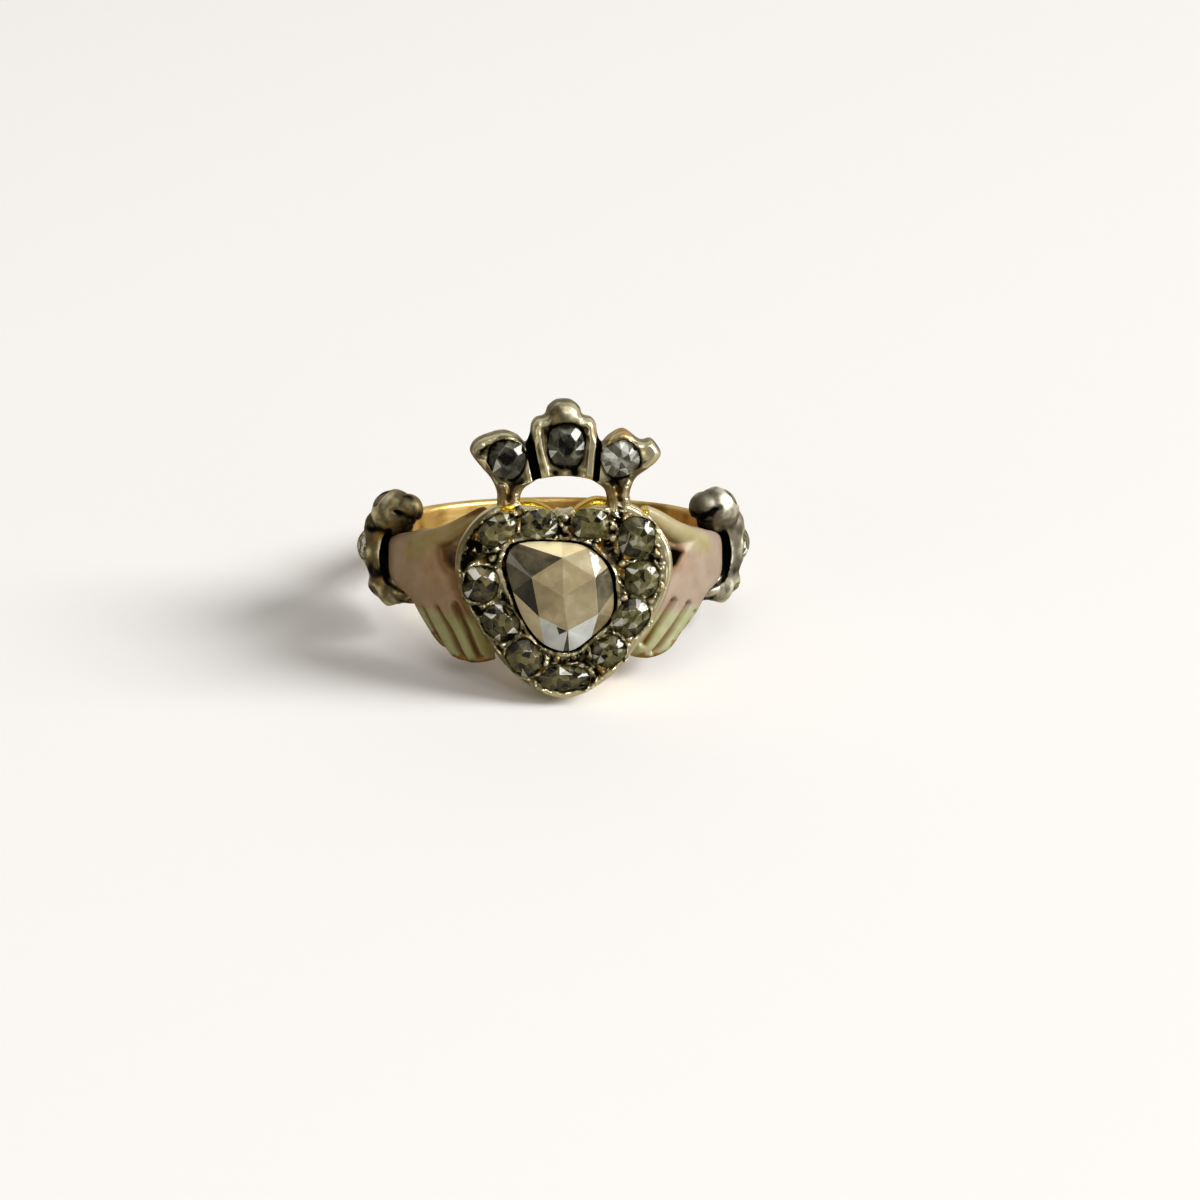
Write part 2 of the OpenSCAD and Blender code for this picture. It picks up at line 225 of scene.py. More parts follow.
def outward(points, faces):
    """The faces, reversed where the volume they enclose comes out negative."""
    fans = [f[:, [0, k, k + 1]] for f in faces for k in range(1, f.shape[1] - 1)]
    a, b, c = (points[np.vstack(fans)[:, k]] for k in range(3))
    volume = np.einsum("ij,ij->i", a, np.cross(b, c)).sum() / 6
    return faces if volume > 0 else [f[:, ::-1] for f in faces]


def mesh_of(name, points, faces, smooth=True):
    """A mesh from numpy arrays: points [n, 3] and one array of faces for each face size."""
    mesh = bpy.data.meshes.new(name)
    mesh.vertices.add(len(points))
    mesh.vertices.foreach_set("co", points.astype(np.float32).ravel())
    sizes = np.concatenate([np.full(len(f), f.shape[1]) for f in faces])
    mesh.loops.add(int(sizes.sum()))
    mesh.loops.foreach_set(
        "vertex_index", np.concatenate([f.ravel() for f in faces]).astype(np.int32)
    )
    mesh.polygons.add(len(sizes))
    mesh.polygons.foreach_set("loop_start", (np.cumsum(sizes) - sizes).astype(np.int32))
    mesh.update(calc_edges=True)
    mesh.validate()
    mesh.shade_smooth() if smooth else mesh.shade_flat()
    return mesh


def piece(name, points, faces, material, slot, *nodes, smooth=True, **marks):
    """A piece of the ring from millimetre points: its marks become attributes, it takes
    the material as its finish and stands for the nodes; the slot is not used."""
    mesh = mesh_of(name, at_rest(points), outward(points, faces), smooth)
    for label, values in marks.items():
        domain = "POINT" if len(values) == len(points) else "FACE"
        layer = mesh.attributes.new(label, "FLOAT", domain)
        layer.data.foreach_set("value", np.asarray(values, np.float32))
    made = bpy.data.objects.new(name, mesh)
    bpy.context.scene.collection.objects.link(made)
    mesh.materials.append(material)
    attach(made, "root")
    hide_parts(*nodes)
    print(f"{name}: {len(points)} points, {sum(len(f) for f in faces)} faces")
    return made


# %% [markdown]
# ## Working marks
# Silver that was filed, chased and worn by hand is never quite flat. A sum of plane
# waves in random directions gives a smooth random height of a chosen size, and a
# soft maximum joins two heights as a solder fillet does.

# %% Noise, ramps and fillets
FILLET = 0.03


def waves(points, size, seed, count=24):
    """A smooth random field of about -1 to 1: the sum of plane waves whose lengths lie
    round size, with seeded directions and phases."""
    rng = np.random.default_rng(seed)
    k = rng.normal(size=(count, points.shape[-1]))
    k *= (2 * np.pi / size * rng.uniform(0.7, 1.4, count) / np.linalg.norm(k, axis=1))[:, None]
    field = np.cos(points @ k.T + rng.uniform(0, 2 * np.pi, count)).sum(-1)
    return field * math.sqrt(2 / count) / 2


def ramp(x, low, high):
    """Smooth step: 0 below low, 1 above high, 3t^2 - 2t^3 between."""
    t = np.clip((x - low) / (high - low), 0, 1)
    return t * t * (3 - 2 * t)


def soft_max(a, b, fillet=FILLET):
    """The higher of two heights with a rounded inner corner: k log(e^(a/k) + e^(b/k))."""
    return fillet * np.logaddexp(a / fillet, b / fillet)


def hump(distance, middle, width):
    """A ridge of height 1: a Gaussian of the distance from its middle line."""
    return np.exp(-(((distance - middle) / width) ** 2))


def round_patch(x, z, at_x, at_z, radius):
    """1 in the middle of a round patch of the heart's plane, falling off as a Gaussian."""
    return hump(np.hypot(x - at_x, z - at_z), 0, radius)


def in_parts(points, work, size=6000):
    """The work done on some thousands of points at a time, to spare memory."""
    parts = np.array_split(points, max(1, len(points) // size))
    return np.concatenate([work(p) for p in parts])


def to_segments(points, a, b):
    """Distance of flat points from the nearest of the segments from a to b."""
    e = b - a
    w = points[:, None] - a
    t = np.clip((w * e).sum(-1) / (e * e).sum(-1), 0, 1)
    return np.linalg.norm(w - t[..., None] * e, axis=-1).min(1)


def edge_distance(points, loop):
    """Distance of flat points from a closed loop: positive inside, negative outside."""
    a, b = loop, np.roll(loop, -1, 0)
    e = b - a

    def work(p):
        near = to_segments(p, a, b)
        up = (a[:, 1] > p[:, None, 1]) != (b[:, 1] > p[:, None, 1])
        with np.errstate(divide="ignore", invalid="ignore"):
            cross = p[:, None, 0] < a[:, 0] + e[:, 0] * (p[:, None, 1] - a[:, 1]) / e[:, 1]
        return np.where((up & cross).sum(1) % 2, near, -near)

    return in_parts(points, work)


def line_distance(points, line):
    """Distance of flat points from an open line through a few points."""
    line = np.asarray(line, float)
    return in_parts(points, lambda p: to_segments(p, line[:-1], line[1:]))


# %% What stands out and what lies back


def beside(points, faces):
    """Both ends of every edge, once from each end, and how many edges a point has."""
    ends = np.vstack([np.stack([f, np.roll(f, -1, 1)], -1).reshape(-1, 2) for f in faces])
    return ends, np.bincount(ends[:, 0], minlength=len(points))


def blurred(points, faces, values, passes):
    """Values moved to the mean of their neighbours' values, some times over."""
    ends, count = beside(points, faces)
    for _ in range(passes):
        values = np.bincount(ends[:, 0], values[ends[:, 1]], len(points)) / count
    return values


def normals(points, faces):
    """Outward unit normals: the mean of the faces round each point."""
    normal = np.zeros_like(points)
    for f in outward(points, faces):
        area = np.cross(points[f[:, 2]] - points[f[:, 0]], points[f[:, -1]] - points[f[:, 1]])
        for k in range(f.shape[1]):
            for axis in range(3):
                normal[:, axis] += np.bincount(f[:, k], area[:, axis], len(points))
    return normal / (np.linalg.norm(normal, axis=1)[:, None] + 1e-12)


def relief(points, faces, passes):
    """How far each point stands out of the blurred mesh, in millimetres along the
    normal: ridges come out positive and recesses negative."""
    soft = np.stack([blurred(points, faces, points[:, k], passes) for k in range(3)], -1)
    return ((points - soft) * normals(points, faces)).sum(1)


# %% [markdown]
# ## Materials: colours and nodes
# Colours are picked as sRGB hex codes and turned to linear light by one function.
# A finish is a Principled shader whose colour, roughness and bump come from noise
# on Object coordinates, scaled so that 1 is a millimetre on the ring, and from the
# marks that each mesh carries. The node kinds used most have a short function each.

# %% One function for colours, one for nodes


def colour(code):
    """Linear colour of an sRGB hex code."""
    v = np.array([int(code[i : i + 2], 16) for i in (1, 3, 5)]) / 255
    return (*np.where(v <= 0.04045, v / 12.92, ((v + 0.055) / 1.055) ** 2.4), 1.0)


def add(tree, kind, inputs=None, **settings):
    """Adds one shader node with its settings; each input takes a value or a link."""
    made = tree.nodes.new("ShaderNode" + kind)
    for key, value in settings.items():
        setattr(made, key, value)
    for key, value in (inputs or {}).items():
        if isinstance(value, bpy.types.NodeSocket):
            tree.links.new(value, made.inputs[key])
        else:
            made.inputs[key].default_value = value
    return made


def finish_of(name, **constants):
    """A new material: its tree, its Principled shader and its millimetre coordinates."""
    material = bpy.data.materials.new(name)
    material.use_nodes = True
    tree = material.node_tree
    shader = tree.nodes["Principled BSDF"]
    for key, value in constants.items():
        shader.inputs[key.replace("_", " ")].default_value = value
    where = add(tree, "TexCoord").outputs["Object"]
    mm = add(tree, "Mapping", {"Vector": where, "Scale": (1000, 1000, 1000)}).outputs[0]
    return material, tree, shader, mm


def connect(tree, shader, **links):
    """Links into the shader's sockets, each named with _ for a space."""
    for key, link in links.items():
        tree.links.new(link, shader.inputs[key.replace("_", " ")])


# %% Short forms of the usual nodes


def mark(tree, name):
    """The value of a mark that the mesh carries."""
    return add(tree, "Attribute", attribute_name=name).outputs["Fac"]


def noise(tree, where, scale, detail):
    """Soft noise, its scale in lumps a millimetre."""
    return add(tree, "TexNoise", {"Vector": where, "Scale": scale, "Detail": detail}).outputs[0]


def ranged(tree, value, low, high, to_low=0.0, to_high=1.0, smooth=False):
    """A value carried from one range to another, straight or as a smooth step."""
    return add(
        tree, "MapRange", {0: value, 1: low, 2: high, 3: to_low, 4: to_high},
        interpolation_type="SMOOTHSTEP" if smooth else "LINEAR",
    ).outputs[0]


def maths(tree, operation, *values, clamp=False):
    """Arithmetic on two or three values."""
    inputs = dict(enumerate(values))
    return add(tree, "Math", inputs, operation=operation, use_clamp=clamp).outputs[0]


def mixed(tree, share, first, second):
    """Two colours mixed by a share; each is a hex code or a link."""
    a, b = (colour(c) if isinstance(c, str) else c for c in (first, second))
    return add(tree, "Mix", {0: share, 6: a, 7: b}, data_type="RGBA").outputs[2]


def bumped(tree, height, strength, depth):
    """A normal that follows a height; depth is in millimetres."""
    inputs = {"Strength": strength, "Distance": depth * MM, "Height": height}
    return add(tree, "Bump", inputs).outputs[0]


# %% [markdown]
# ## Oxidised silver
# The setting, crown and cuffs are old sterling silver. Sulphur in the air blackens
# it in every recess, and handling rubs the raised edges bright again, with a warm
# grey between. Each silver mesh carries a mark of wear and painted light: 0 in a
# recess and in painted shade, 1 on a rubbed edge and in a painted highlight. The
# material breaks it up with blotches about 0.6 mm wide.
# Three more marks say where the silver is clean behind a stone (foil), where gold
# was smeared over it (gilt) and where it is a cooler, duller grey (cool).

# %% Oxidised silver
silver, tree, shader, mm = finish_of("oxidised sterling silver", Metallic=1.0)
mottled = ranged(tree, noise(tree, mm, 1.6, 4.0), 0.3, 0.7, -0.2, 0.14)
# worn is the mark of wear together with its painted shade and painted highlights.
worn = maths(tree, "ADD", mark(tree, "wear"), mottled, clamp=True)
out_of_recess = ranged(tree, worn, 0.1, 0.42, smooth=True)
rubbed = ranged(tree, worn, 0.5, 0.95, smooth=True)
grey = mixed(tree, out_of_recess, "#0E0C08", "#7E7455")
bright = mixed(tree, rubbed, grey, "#F4EBC6")
# Behind each stone the silver was kept clean, so that it throws light back through it.
behind = mixed(tree, mark(tree, "foil"), bright, "#77724E")
gilded = mixed(tree, mark(tree, "gilt"), behind, "#DDA23E")
cool = mark(tree, "cool")
less = ranged(tree, cool, 0.0, 1.0, 1.0, 0.55)
cooled = add(
    tree, "HueSaturation", {"Saturation": less, "Value": 1.04, "Color": gilded}
).outputs[0]
duller = maths(tree, "MULTIPLY_ADD", cool, 0.1, ranged(tree, worn, 0.1, 1.0, 0.5, 0.33))
pitted = bumped(tree, noise(tree, mm, 7.0, 3.0), 0.35, 0.02)
connect(tree, shader, Base_Color=cooled, Roughness=duller, Normal=pitted)
print("material:", silver.name)

# %% [markdown]
# ## Rose gold and yellow gold
# The band is a low-carat rose gold, polished once and now covered in hair-fine
# scratches, with brown skin oil clouding it. The plate behind the heart is a
# richer yellow gold, still bright where the silver covers and protects it, and so
# are two small claws bent forward from it.

# %% Two golds
rose_gold, tree, shader, mm = finish_of("polished rose gold", Metallic=1.0)
share = ranged(tree, noise(tree, mm, 0.55, 5.0), 0.35, 0.68, smooth=True)
tint = mixed(tree, share, "#F2D186", "#B98A36")
# Polishing scratches run along the band: 0.1 mm apart across it, millimetres long.
streaks = add(tree, "Mapping", {"Vector": mm, "Scale": (0.6, 0.6, 8.0)}).outputs[0]
scratch = noise(tree, streaks, 1.2, 3.0)
rough = ranged(tree, scratch, 0.3, 0.7, 0.32, 0.48)
bump = bumped(tree, scratch, 0.25, 0.01)
connect(tree, shader, Base_Color=tint, Roughness=rough, Normal=bump)

yellow_gold, tree, shader, mm = finish_of("burnished yellow gold", Metallic=1.0)
cloud = noise(tree, mm, 1.1, 4.0)
tint = mixed(tree, ranged(tree, cloud, 0.5, 0.85), "#FFD24A", "#A87A24")
rough = ranged(tree, cloud, 0.3, 0.7, 0.18, 0.34)
bump = bumped(tree, cloud, 0.3, 0.02)
connect(tree, shader, Base_Color=tint, Roughness=rough, Normal=bump)
print("materials:", rose_gold.name, "and", yellow_gold.name)

# %% [markdown]
# ## Painted enamel
# The hands are gold under a thin coat of opaque enamel: flesh pink on the wrist and
# the back of the hand, yellow cream on the thumb and a greenish cream on the fingers.
# Brown gold shows in the grooves and where the tips have rubbed through, the hollow
# under the thumb is painted black as shade, and the left hand is painted browner
# than the right, partly browned enamel and partly warm shade. Marks on the mesh say
# where each of these is.

# %% Painted enamel
COAT, SPECULAR = 0.2, 0.5
enamel, tree, shader, mm = finish_of(
    "painted enamel on gold", IOR=1.5, Coat_Weight=COAT, Coat_Roughness=0.15
)
cloud, speck = noise(tree, mm, 0.9, 3.0), noise(tree, mm, 5.0, 3.0)
soft = ranged(tree, cloud, 0.3, 0.7)


def coated(pink, thumb, fingers):
    """Flesh, thumb and finger colours, each a pair that clouds from one to the other."""
    flesh, nail_side, tips = (mixed(tree, soft, *pair) for pair in (pink, thumb, fingers))
    coat = mixed(tree, mark(tree, "thumb"), flesh, nail_side)
    return mixed(tree, mark(tree, "fingers"), coat, tips)


clean = coated(("#AC9A8A", "#9B8675"), ("#AFA682", "#9A8F60"), ("#B6B797", "#9DA072"))
# The browned coat is partly aged enamel and partly painted warm shade on the left hand.
browned = coated(("#C09A74", "#A98459"), ("#B79B5E", "#A08446"), ("#CCC978", "#B5B15A"))
coat = mixed(tree, mark(tree, "aged"), clean, browned)
brown = mixed(tree, mark(tree, "grooves"), coat, "#7A5216")
# Specks make the rubbed edge of the enamel ragged.
edge = maths(tree, "SUBTRACT", speck, 0.5)
ragged = maths(tree, "MULTIPLY_ADD", edge, 1.6, mark(tree, "rubbed"))
bare = ranged(tree, ragged, 0.2, 0.95, smooth=True)
shown = mixed(tree, bare, brown, mixed(tree, soft, "#B0822E", "#644410"))
# The hollow and the hand's underside are painted black as shade.
shown = mixed(tree, mark(tree, "hollow"), shown, "#160B04")
# Bare gold is metal, and the hollow's painted shade is neither metal nor glossy.
metal = maths(tree, "MAXIMUM", bare, mark(tree, "grooves"))
filled = maths(tree, "SUBTRACT", 1.0, mark(tree, "hollow"))
metallic = maths(tree, "MULTIPLY", maths(tree, "MULTIPLY", metal, filled), 0.6)
connect(
    tree, shader, Base_Color=shown, Metallic=metallic,
    Specular_IOR_Level=maths(tree, "MULTIPLY", filled, SPECULAR),
    Coat_Weight=maths(tree, "MULTIPLY", filled, COAT),
    Roughness=ranged(tree, cloud, 0.3, 0.7, 0.42, 0.56), Normal=bumped(tree, speck, 0.3, 0.02),
)
print("material:", enamel.name)

# %% [markdown]
# ## Old-cut stones
# The stones are old-cut diamonds of a smoky, slightly green colour, and greyer in
# the crown, all closed at the back. Each facet would show another part of the dark
# seat and the room, so light and dark are painted facet by facet: a mark of painted
# light gives every facet its share of light, and a mark of painted warmth says how
# golden that light is. Dirt behind the stones dulls them, so little light passes
# through and the index is 1.6, well under a clean diamond's.

# %% Old-cut stones


def gem(name, dark, middle, transmission, patches, size, wavy):
    """A glassy stone with its light painted on. The mark of painted light runs from the
    dark colour over a grey or golden middle to white, and sharp-edged patches of a
    given share and size are painted light and dark for the pavilion's facets seen
    through the front. Hand-held laps left the facets a little wavy."""
    material, tree, shader, mm = finish_of(
        name, Roughness=0.03, IOR=1.6, Transmission_Weight=transmission
    )
    warm = mark(tree, "warm")
    cells = add(tree, "TexVoronoi", {"Vector": mm, "Scale": 1 / size, "Randomness": 1.0})
    cell = add(tree, "SeparateColor", {0: cells.outputs["Color"]}).outputs[0]
    flaw = noise(tree, mm, 1.3, 5.0)
    speck = ranged(tree, cell, 0.0, 1.0, -patches, patches)
    haze = ranged(tree, flaw, 0.3, 0.7, -0.08, 0.08)
    both = maths(tree, "ADD", speck, haze)
    share = maths(tree, "ADD", mark(tree, "tone"), both, clamp=True)
    body = mixed(tree, warm, middle, "#D0B888")
    light = mixed(tree, warm, "#F2F8FA", "#FFEFB8")
    lower = mixed(tree, ranged(tree, share, 0.0, 0.5), dark, body)
    tint = mixed(tree, ranged(tree, share, 0.5, 1.0), lower, light)
    connect(tree, shader, Base_Color=tint, Normal=bumped(tree, flaw, 0.5, wavy))
    return material


small_stone = gem("old-cut smoky stone", "#050502", "#706E42", 0.06, 0.22, 0.4, 0.05)
grey_stone = gem("old-cut grey stone", "#040506", "#676A5E", 0.06, 0.16, 0.4, 0.05)
rose_stone = gem("rose-cut smoky stone", "#0B0C08", "#74786A", 0.05, 0.04, 0.9, 0.02)
print("materials:", small_stone.name, "and", grey_stone.name, "and", rose_stone.name)

# %% [markdown]
# ## The band
# The band is drawn D-shaped wire bent round a mandrel: flat inside, a low arch
# outside, its corners rubbed round by wear. Its section is carried once round the
# finger hole.

# %% The band
CORNER = 0.26  # the worn inner corners, which catch a line of light
CORNER_STEPS, ARCH_STEPS, BAND_STEPS = 9, 33, 320
UNEVEN = 0.0012  # share of the radius by which the outside wanders

turn = np.radians(np.linspace(0, 90, CORNER_STEPS))
flat_half = BAND_W / 2 - CORNER
corner = np.stack(
    [BORE_R + CORNER - CORNER * np.cos(turn), flat_half + CORNER * np.sin(turn)], -1
)
arch_to = math.asin(BAND_W / 2 / BAND_ROUND) * 0.985
arch = np.linspace(arch_to, -arch_to, ARCH_STEPS)
outside = np.stack(
    [BAND_R - BAND_ROUND + BAND_ROUND * np.cos(arch), BAND_ROUND * np.sin(arch)], -1
)
heights = np.linspace(-flat_half, flat_half, CORNER_STEPS)
inside = np.stack([np.full(CORNER_STEPS, BORE_R), heights], -1)
section = np.vstack([inside[1:-1], corner, outside, corner[::-1] * [1, -1]])
angle = np.linspace(0, 360, BAND_STEPS, endpoint=False)
loops = place(angle[:, None], section[None, :, 1], section[None, :, 0])
points, faces = skin(loops, closed=True)
radial = np.hypot(points[:, 0], points[:, 1])
thick = 1 + UNEVEN * waves(points, 3.0, 11) * (radial > BORE_R + 0.3)
points = points * np.stack([thick, thick, np.ones_like(thick)], -1)
piece("band", points, faces, rose_gold, "gold", "ring_mount")

# %% [markdown]
# ## The gold plate behind the heart
# The heart's silver front is soldered to a plate of yellow gold that follows its
# outline a little inside it. Only its edge shows, as a bright line over the top of
# the heart between the crown's feet, where it was left a little proud. It is a
# stack of heart loops, shrunk towards the middle at the front and at the back.

# %% The back plate
MIDDLE = np.array([0.0, -1.0])  # the point that each loop of the heart shrinks towards


def over(x, low, high, soft=0.3):
    """1 from low to high along x, falling smoothly to 0 on both sides."""
    return ramp(x, low - soft, low) * (1 - ramp(x, high, high + soft))


# Rows from the middle of the front round the edge to the middle of the back: share of
# the outline's size, and depth.
PLATE_ROWS = [
    (0.02, 10.1), (0.5, 10.1), (0.9, 10.1), (0.975, 10.08), (0.995, 9.97), (1, 9.8), (1, 9.5),
    (1, 9.2), (0.993, 9.07), (0.97, 9.0), (0.9, 9.0), (0.5, 9.0), (0.02, 9.0),
]
outline = evenly(heart, 360)
x, z = outline.T
top = ramp(z, 2.2, 3.0)
plate = outline + PLATE_INSET * inwards(outline)
plate[:, 1] += top * (
    0.2 * hump(x, 1.7, 0.9) + 0.08 * hump(x, -1.5, 0.8) - 0.1 * over(x, -0.4, 0.5)
)
loops = np.stack(
    [np.insert(MIDDLE + k * (plate - MIDDLE), 1, -depth, axis=1) for k, depth in PLATE_ROWS]
)
points, faces = skin(loops)
piece("back_plate", points, faces, yellow_gold, "gold", "ring_mount")

# %% [markdown]
# ## The heart's setting
# Eleven stones and a large middle one are sunk into a silver heart, whose metal was
# pushed up round each stone with a graver and cut down to small grains. It is one
# height field over the heart: a rim, a lip round each stone, grains, a cup under
# each stone, and a flat seat for the middle one. Rays run from the outline to the
# middle, so the grid follows the rim.

# %% Where the stones sit: x, z, length, width and turn of each
HALO = np.array([
    [-3.42, 2.3, 1.95, 1.3, 32], [-1.3, 2.58, 1.75, 1.35, 0],
    [1.36, 2.58, 1.7, 1.4, 0], [3.75, 1.86, 1.95, 1.7, 80],
    [4.02, -0.3, 1.6, 1.65, 0], [3.5, -2.35, 1.85, 1.5, 50],
    [2.35, -4.12, 1.6, 1.35, 35], [0.02, -5.52, 2.4, 1.2, 0],
    [-2.05, -4.4, 1.8, 1.55, -50], [-3.3, -2.55, 1.8, 1.5, -40],
    [-4.3, -0.5, 1.7, 1.6, 80],
]) * [1, 1, 1.2, 1.2, 1]
GRAINS = np.array([
    [0.03, 2.35, 0.22], [0.03, 2.85, 0.2], [2.58, 3.05, 0.22], [2.55, 2.45, 0.24],
    [2.5, 1.85, 0.24], [2.75, 1.2, 0.22], [4.75, 0.95, 0.2], [2.98, 0.5, 0.22],
    [3.05, -0.15, 0.2], [3.1, -1.3, 0.22], [4.5, -1.45, 0.2], [3.35, -3.45, 0.18],
    [1.45, -5.05, 0.22], [-0.98, -4.72, 0.2], [-3.2, -3.75, 0.2], [-4.3, -1.75, 0.2],
    [-3.35, -1.1, 0.2], [-4.55, 1.2, 0.24], [-3.55, 1.3, 0.2], [-2.35, 3.15, 0.2],
    [-2.4, 2.3, 0.2], [1.35, -4.35, 0.2], [-4.35, 1.85, 0.2], [-3.75, 0.85, 0.24],
    [-5.0, 0.4, 0.18], [-3.2, 0.95, 0.2], [-4.55, 0.55, 0.16], [-0.4, -4.5, 0.18],
    [0.5, -4.4, 0.16], [0.9, -4.85, 0.18], [-0.3, -4.9, 0.14], [0.3, -4.75, 0.14],
])
CUSHION = 2.6  # the exponent that gives a cushion outline, between an ellipse and a box


def girdle_share(x, z, stone):
    """1 on a stone's outline and less inside it: the superellipse
    (|u/a|^2.6 + |v/b|^2.6)^(1/2.6) along the stone's own length and width."""
    turn = math.radians(stone[4])
    dx, dz = x - stone[0], z - stone[1]
    u = (dx * math.cos(turn) + dz * math.sin(turn)) / (stone[2] / 2)
    v = (dz * math.cos(turn) - dx * math.sin(turn)) / (stone[3] / 2)
    return (np.abs(u) ** CUSHION + np.abs(v) ** CUSHION) ** (1 / CUSHION)


# %% The middle stone's corners, which its seat follows
ROSE_APEX = [-0.13, -1]
ROSE_STAR = [[-1.74, -0.04], [-0.13, 0.97], [1.54, -0.07], [1.7, -1.98], [0.13, -2.83],
             [-1.36, -2.07]]
ROSE_BESIDE = [[-3, 0.65], [-0.13, 1.66], [2.25, 0.3], [2.42, -2.28], [0.25, -4.08],
               [-2.05, -2.5]]
ROSE_BETWEEN = [[-2.35, 1.6], [1.25, 1.35], [2.55, -1], [1.4, -3.35], [-1.05, -3.7],
                [-2.68, -0.9]]
rose = np.stack([ROSE_BESIDE, ROSE_BETWEEN], 1).reshape(-1, 2)

# %% The setting's surface
AROUND = 620
LIP, CUP_DROP, CUP_DEPTH = 0.17, 0.12, 0.8
SEAT_FLOOR = DECK - 0.46
TOP_DROP = 0.36  # how far the silver is cut back where the gold shows above it
# Holes left by the drill and gaps between claws, black with age: x, z and radius.
PITS = np.array([
    [-4.75, 0.95, 0.36], [-3.85, -1.85, 0.34], [-3.3, -1.75, 0.2], [-3.15, -0.2, 0.22],
    [-3.05, -0.9, 0.26], [2.05, 1.25, 0.2], [2.1, 2.0, 0.16], [2.9, -0.95, 0.22],
    [-1.75, -5.45, 0.3], [-1.2, -5.9, 0.2], [1.5, -5.15, 0.22], [1.35, -5.75, 0.16],
    [-4.4, 1.35, 0.2], [-2.55, 2.95, 0.16], [0.3, 2.6, 0.14], [-0.25, 2.3, 0.14],
    [3.0, -3.6, 0.15], [-2.95, -3.9, 0.14],
    [-2.3, 1.9, 0.16], [-4.9, 1.6, 0.16], [0.75, -4.55, 0.14], [-1.0, -4.35, 0.14],
])


def set_stones(x, z, height, stones, base, lip, seed):
    """The height with a ragged lip round each stone, a bare line inside the lip and a
    cup under the stone; also the share of cup."""
    flat = np.stack([x, z], -1)
    ragged = np.maximum(0.6 + 1.5 * waves(flat, 0.7, seed) + 0.5 * waves(flat, 0.35, seed + 1), 0)
    cup = np.zeros_like(x)
    for stone in stones:
        q = girdle_share(x, z, stone)
        beyond = (q - 1) * min(stone[2], stone[3]) / 2
        height = soft_max(height, base + lip * ragged * hump(beyond, 0.06, 0.12), 0.05)
        bowl = base - CUP_DROP - CUP_DEPTH * (1 - q)
        height = np.where(beyond < -0.06, np.minimum(height, bowl), height)
        cup = np.where(beyond < -0.06, 1.0, cup)
    return height, cup


# The rim's section: how far in from the outline, and how high above the deck.
RIM_INSETS = [0, 0.04, 0.1, 0.18, 0.26, 0.34, 0.42, 0.55]
RIM_HEIGHTS = np.array([-0.45, -0.16, 0.08, 0.17, 0.12, -0.05, -0.35, -1])


def at_left(x, z):
    """1 along the heart's left side, where the rim is thinner and is painted in shade."""
    return ramp(-x - 0.3 * z, 2.6, 3.8)


def setting_surface(x, z, inset):
    """Height of the silver over the heart, and its cups and seat: chased deck, rim,
    grains, lips and bezel raised, then pits, cups and the middle seat cut in."""
    flat = np.stack([x, z], -1)
    chased = 1 - np.abs(waves(flat, 0.6, 1))
    height = DECK - 0.1 + 0.2 * chased**3 + 0.16 * ramp(waves(flat, 0.35, 2), 0, 0.7)
    low_rim = np.interp(inset * (1 + 0.4 * at_left(x, z)), RIM_INSETS, DECK + RIM_HEIGHTS)
    rim = low_rim + 0.06 * waves(flat, 0.9, 3) * (inset > 0.08)
    rim = rim - 0.25 * over(x, -2.2, 2.5) * ramp(z, 2.4, 2.9) * (inset > 0.08)
    height = soft_max(height, rim)
    broad = ramp(x, 2.6, 3.4) * (1 - ramp(inset, 0.5, 0.75))
    height = soft_max(height, DECK - 0.4 + 0.5 * broad, 0.05)
    height = np.where(inset < 0.1, np.minimum(rim, low_rim), height)
    for gx, gz, r in GRAINS:
        far = np.hypot(x - gx, z - gz) / r
        bead = DECK + 0.05 + r * np.sqrt(np.clip(1 - far**2, 0, 1))
        height = np.where(far < 1, soft_max(height, bead), height)
    outside = -edge_distance(flat, rose)
    round_seat = 0.16 * ramp(waves(flat, 1.5, 8), -0.4, 0.6) * hump(outside, 0.24, 0.07)
    height = soft_max(height, DECK - 0.05 + round_seat * 2)
    for px, pz, r in PITS:
        far = np.hypot(x - px, (z - pz) * (1 + 0.3 * math.sin(9 * px))) / r
        height -= 0.45 * np.clip(1.15 - far**2, 0, 1)
    height, cup = set_stones(x, z, height, HALO, DECK, LIP, 4)
    gap = 0.1 + 0.06 * waves(flat, 1.4, 9) + 0.1 * hump(x, -3.0, 0.5) + 0.06 * hump(x, 2.6, 0.6)
    trench = np.where(outside < 0, SEAT_FLOOR, SEAT_FLOOR - 0.1)
    height = np.where(outside < gap, np.minimum(height, trench), height)
    return height, cup, (outside < 0.0).astype(float), outside < gap


# %% The setting's grid: rays from the outline to the middle, close together at the rim
MID_SHARE = 0.42  # the share of the way out where the spacing of the rays changes
rose = closed_curve(rose, 4)
outline = evenly(heart, AROUND)
cut_back = TOP_DROP * ramp(outline[:, 1], 2.3, 3.0)
cut_back *= np.maximum(over(outline[:, 0], -2.1, -0.6), over(outline[:, 0], 0.7, 2.45))
outline[:, 1] -= cut_back
reach = outline - MIDDLE
length = np.linalg.norm(reach, axis=1)
slant = np.abs((reach * inwards(outline)).sum(1)) / length
insets = np.array([0, 0.02, 0.05, 0.09, 0.13, 0.17, 0.21, 0.25, 0.29, 0.33, 0.37, 0.41, 0.45])
rim_rows = 1 - insets[:, None] / (length * slant)
outer = rim_rows[-1] + (MID_SHARE - rim_rows[-1]) * np.linspace(0, 1, 96)[1:, None]
inner = MID_SHARE - 0.4 * np.linspace(0, 1, 12)[1:, None] + 0 * length
share = np.vstack([rim_rows, outer, inner])
flat = MIDDLE + share[..., None] * reach
inset = ((1 - share) * length * slant).ravel()
height, cup, seat, shut = setting_surface(flat[..., 0].ravel(), flat[..., 1].ravel(), inset)
front = np.insert(flat.reshape(-1, 2), 1, -height, axis=1).reshape(*share.shape, 3)
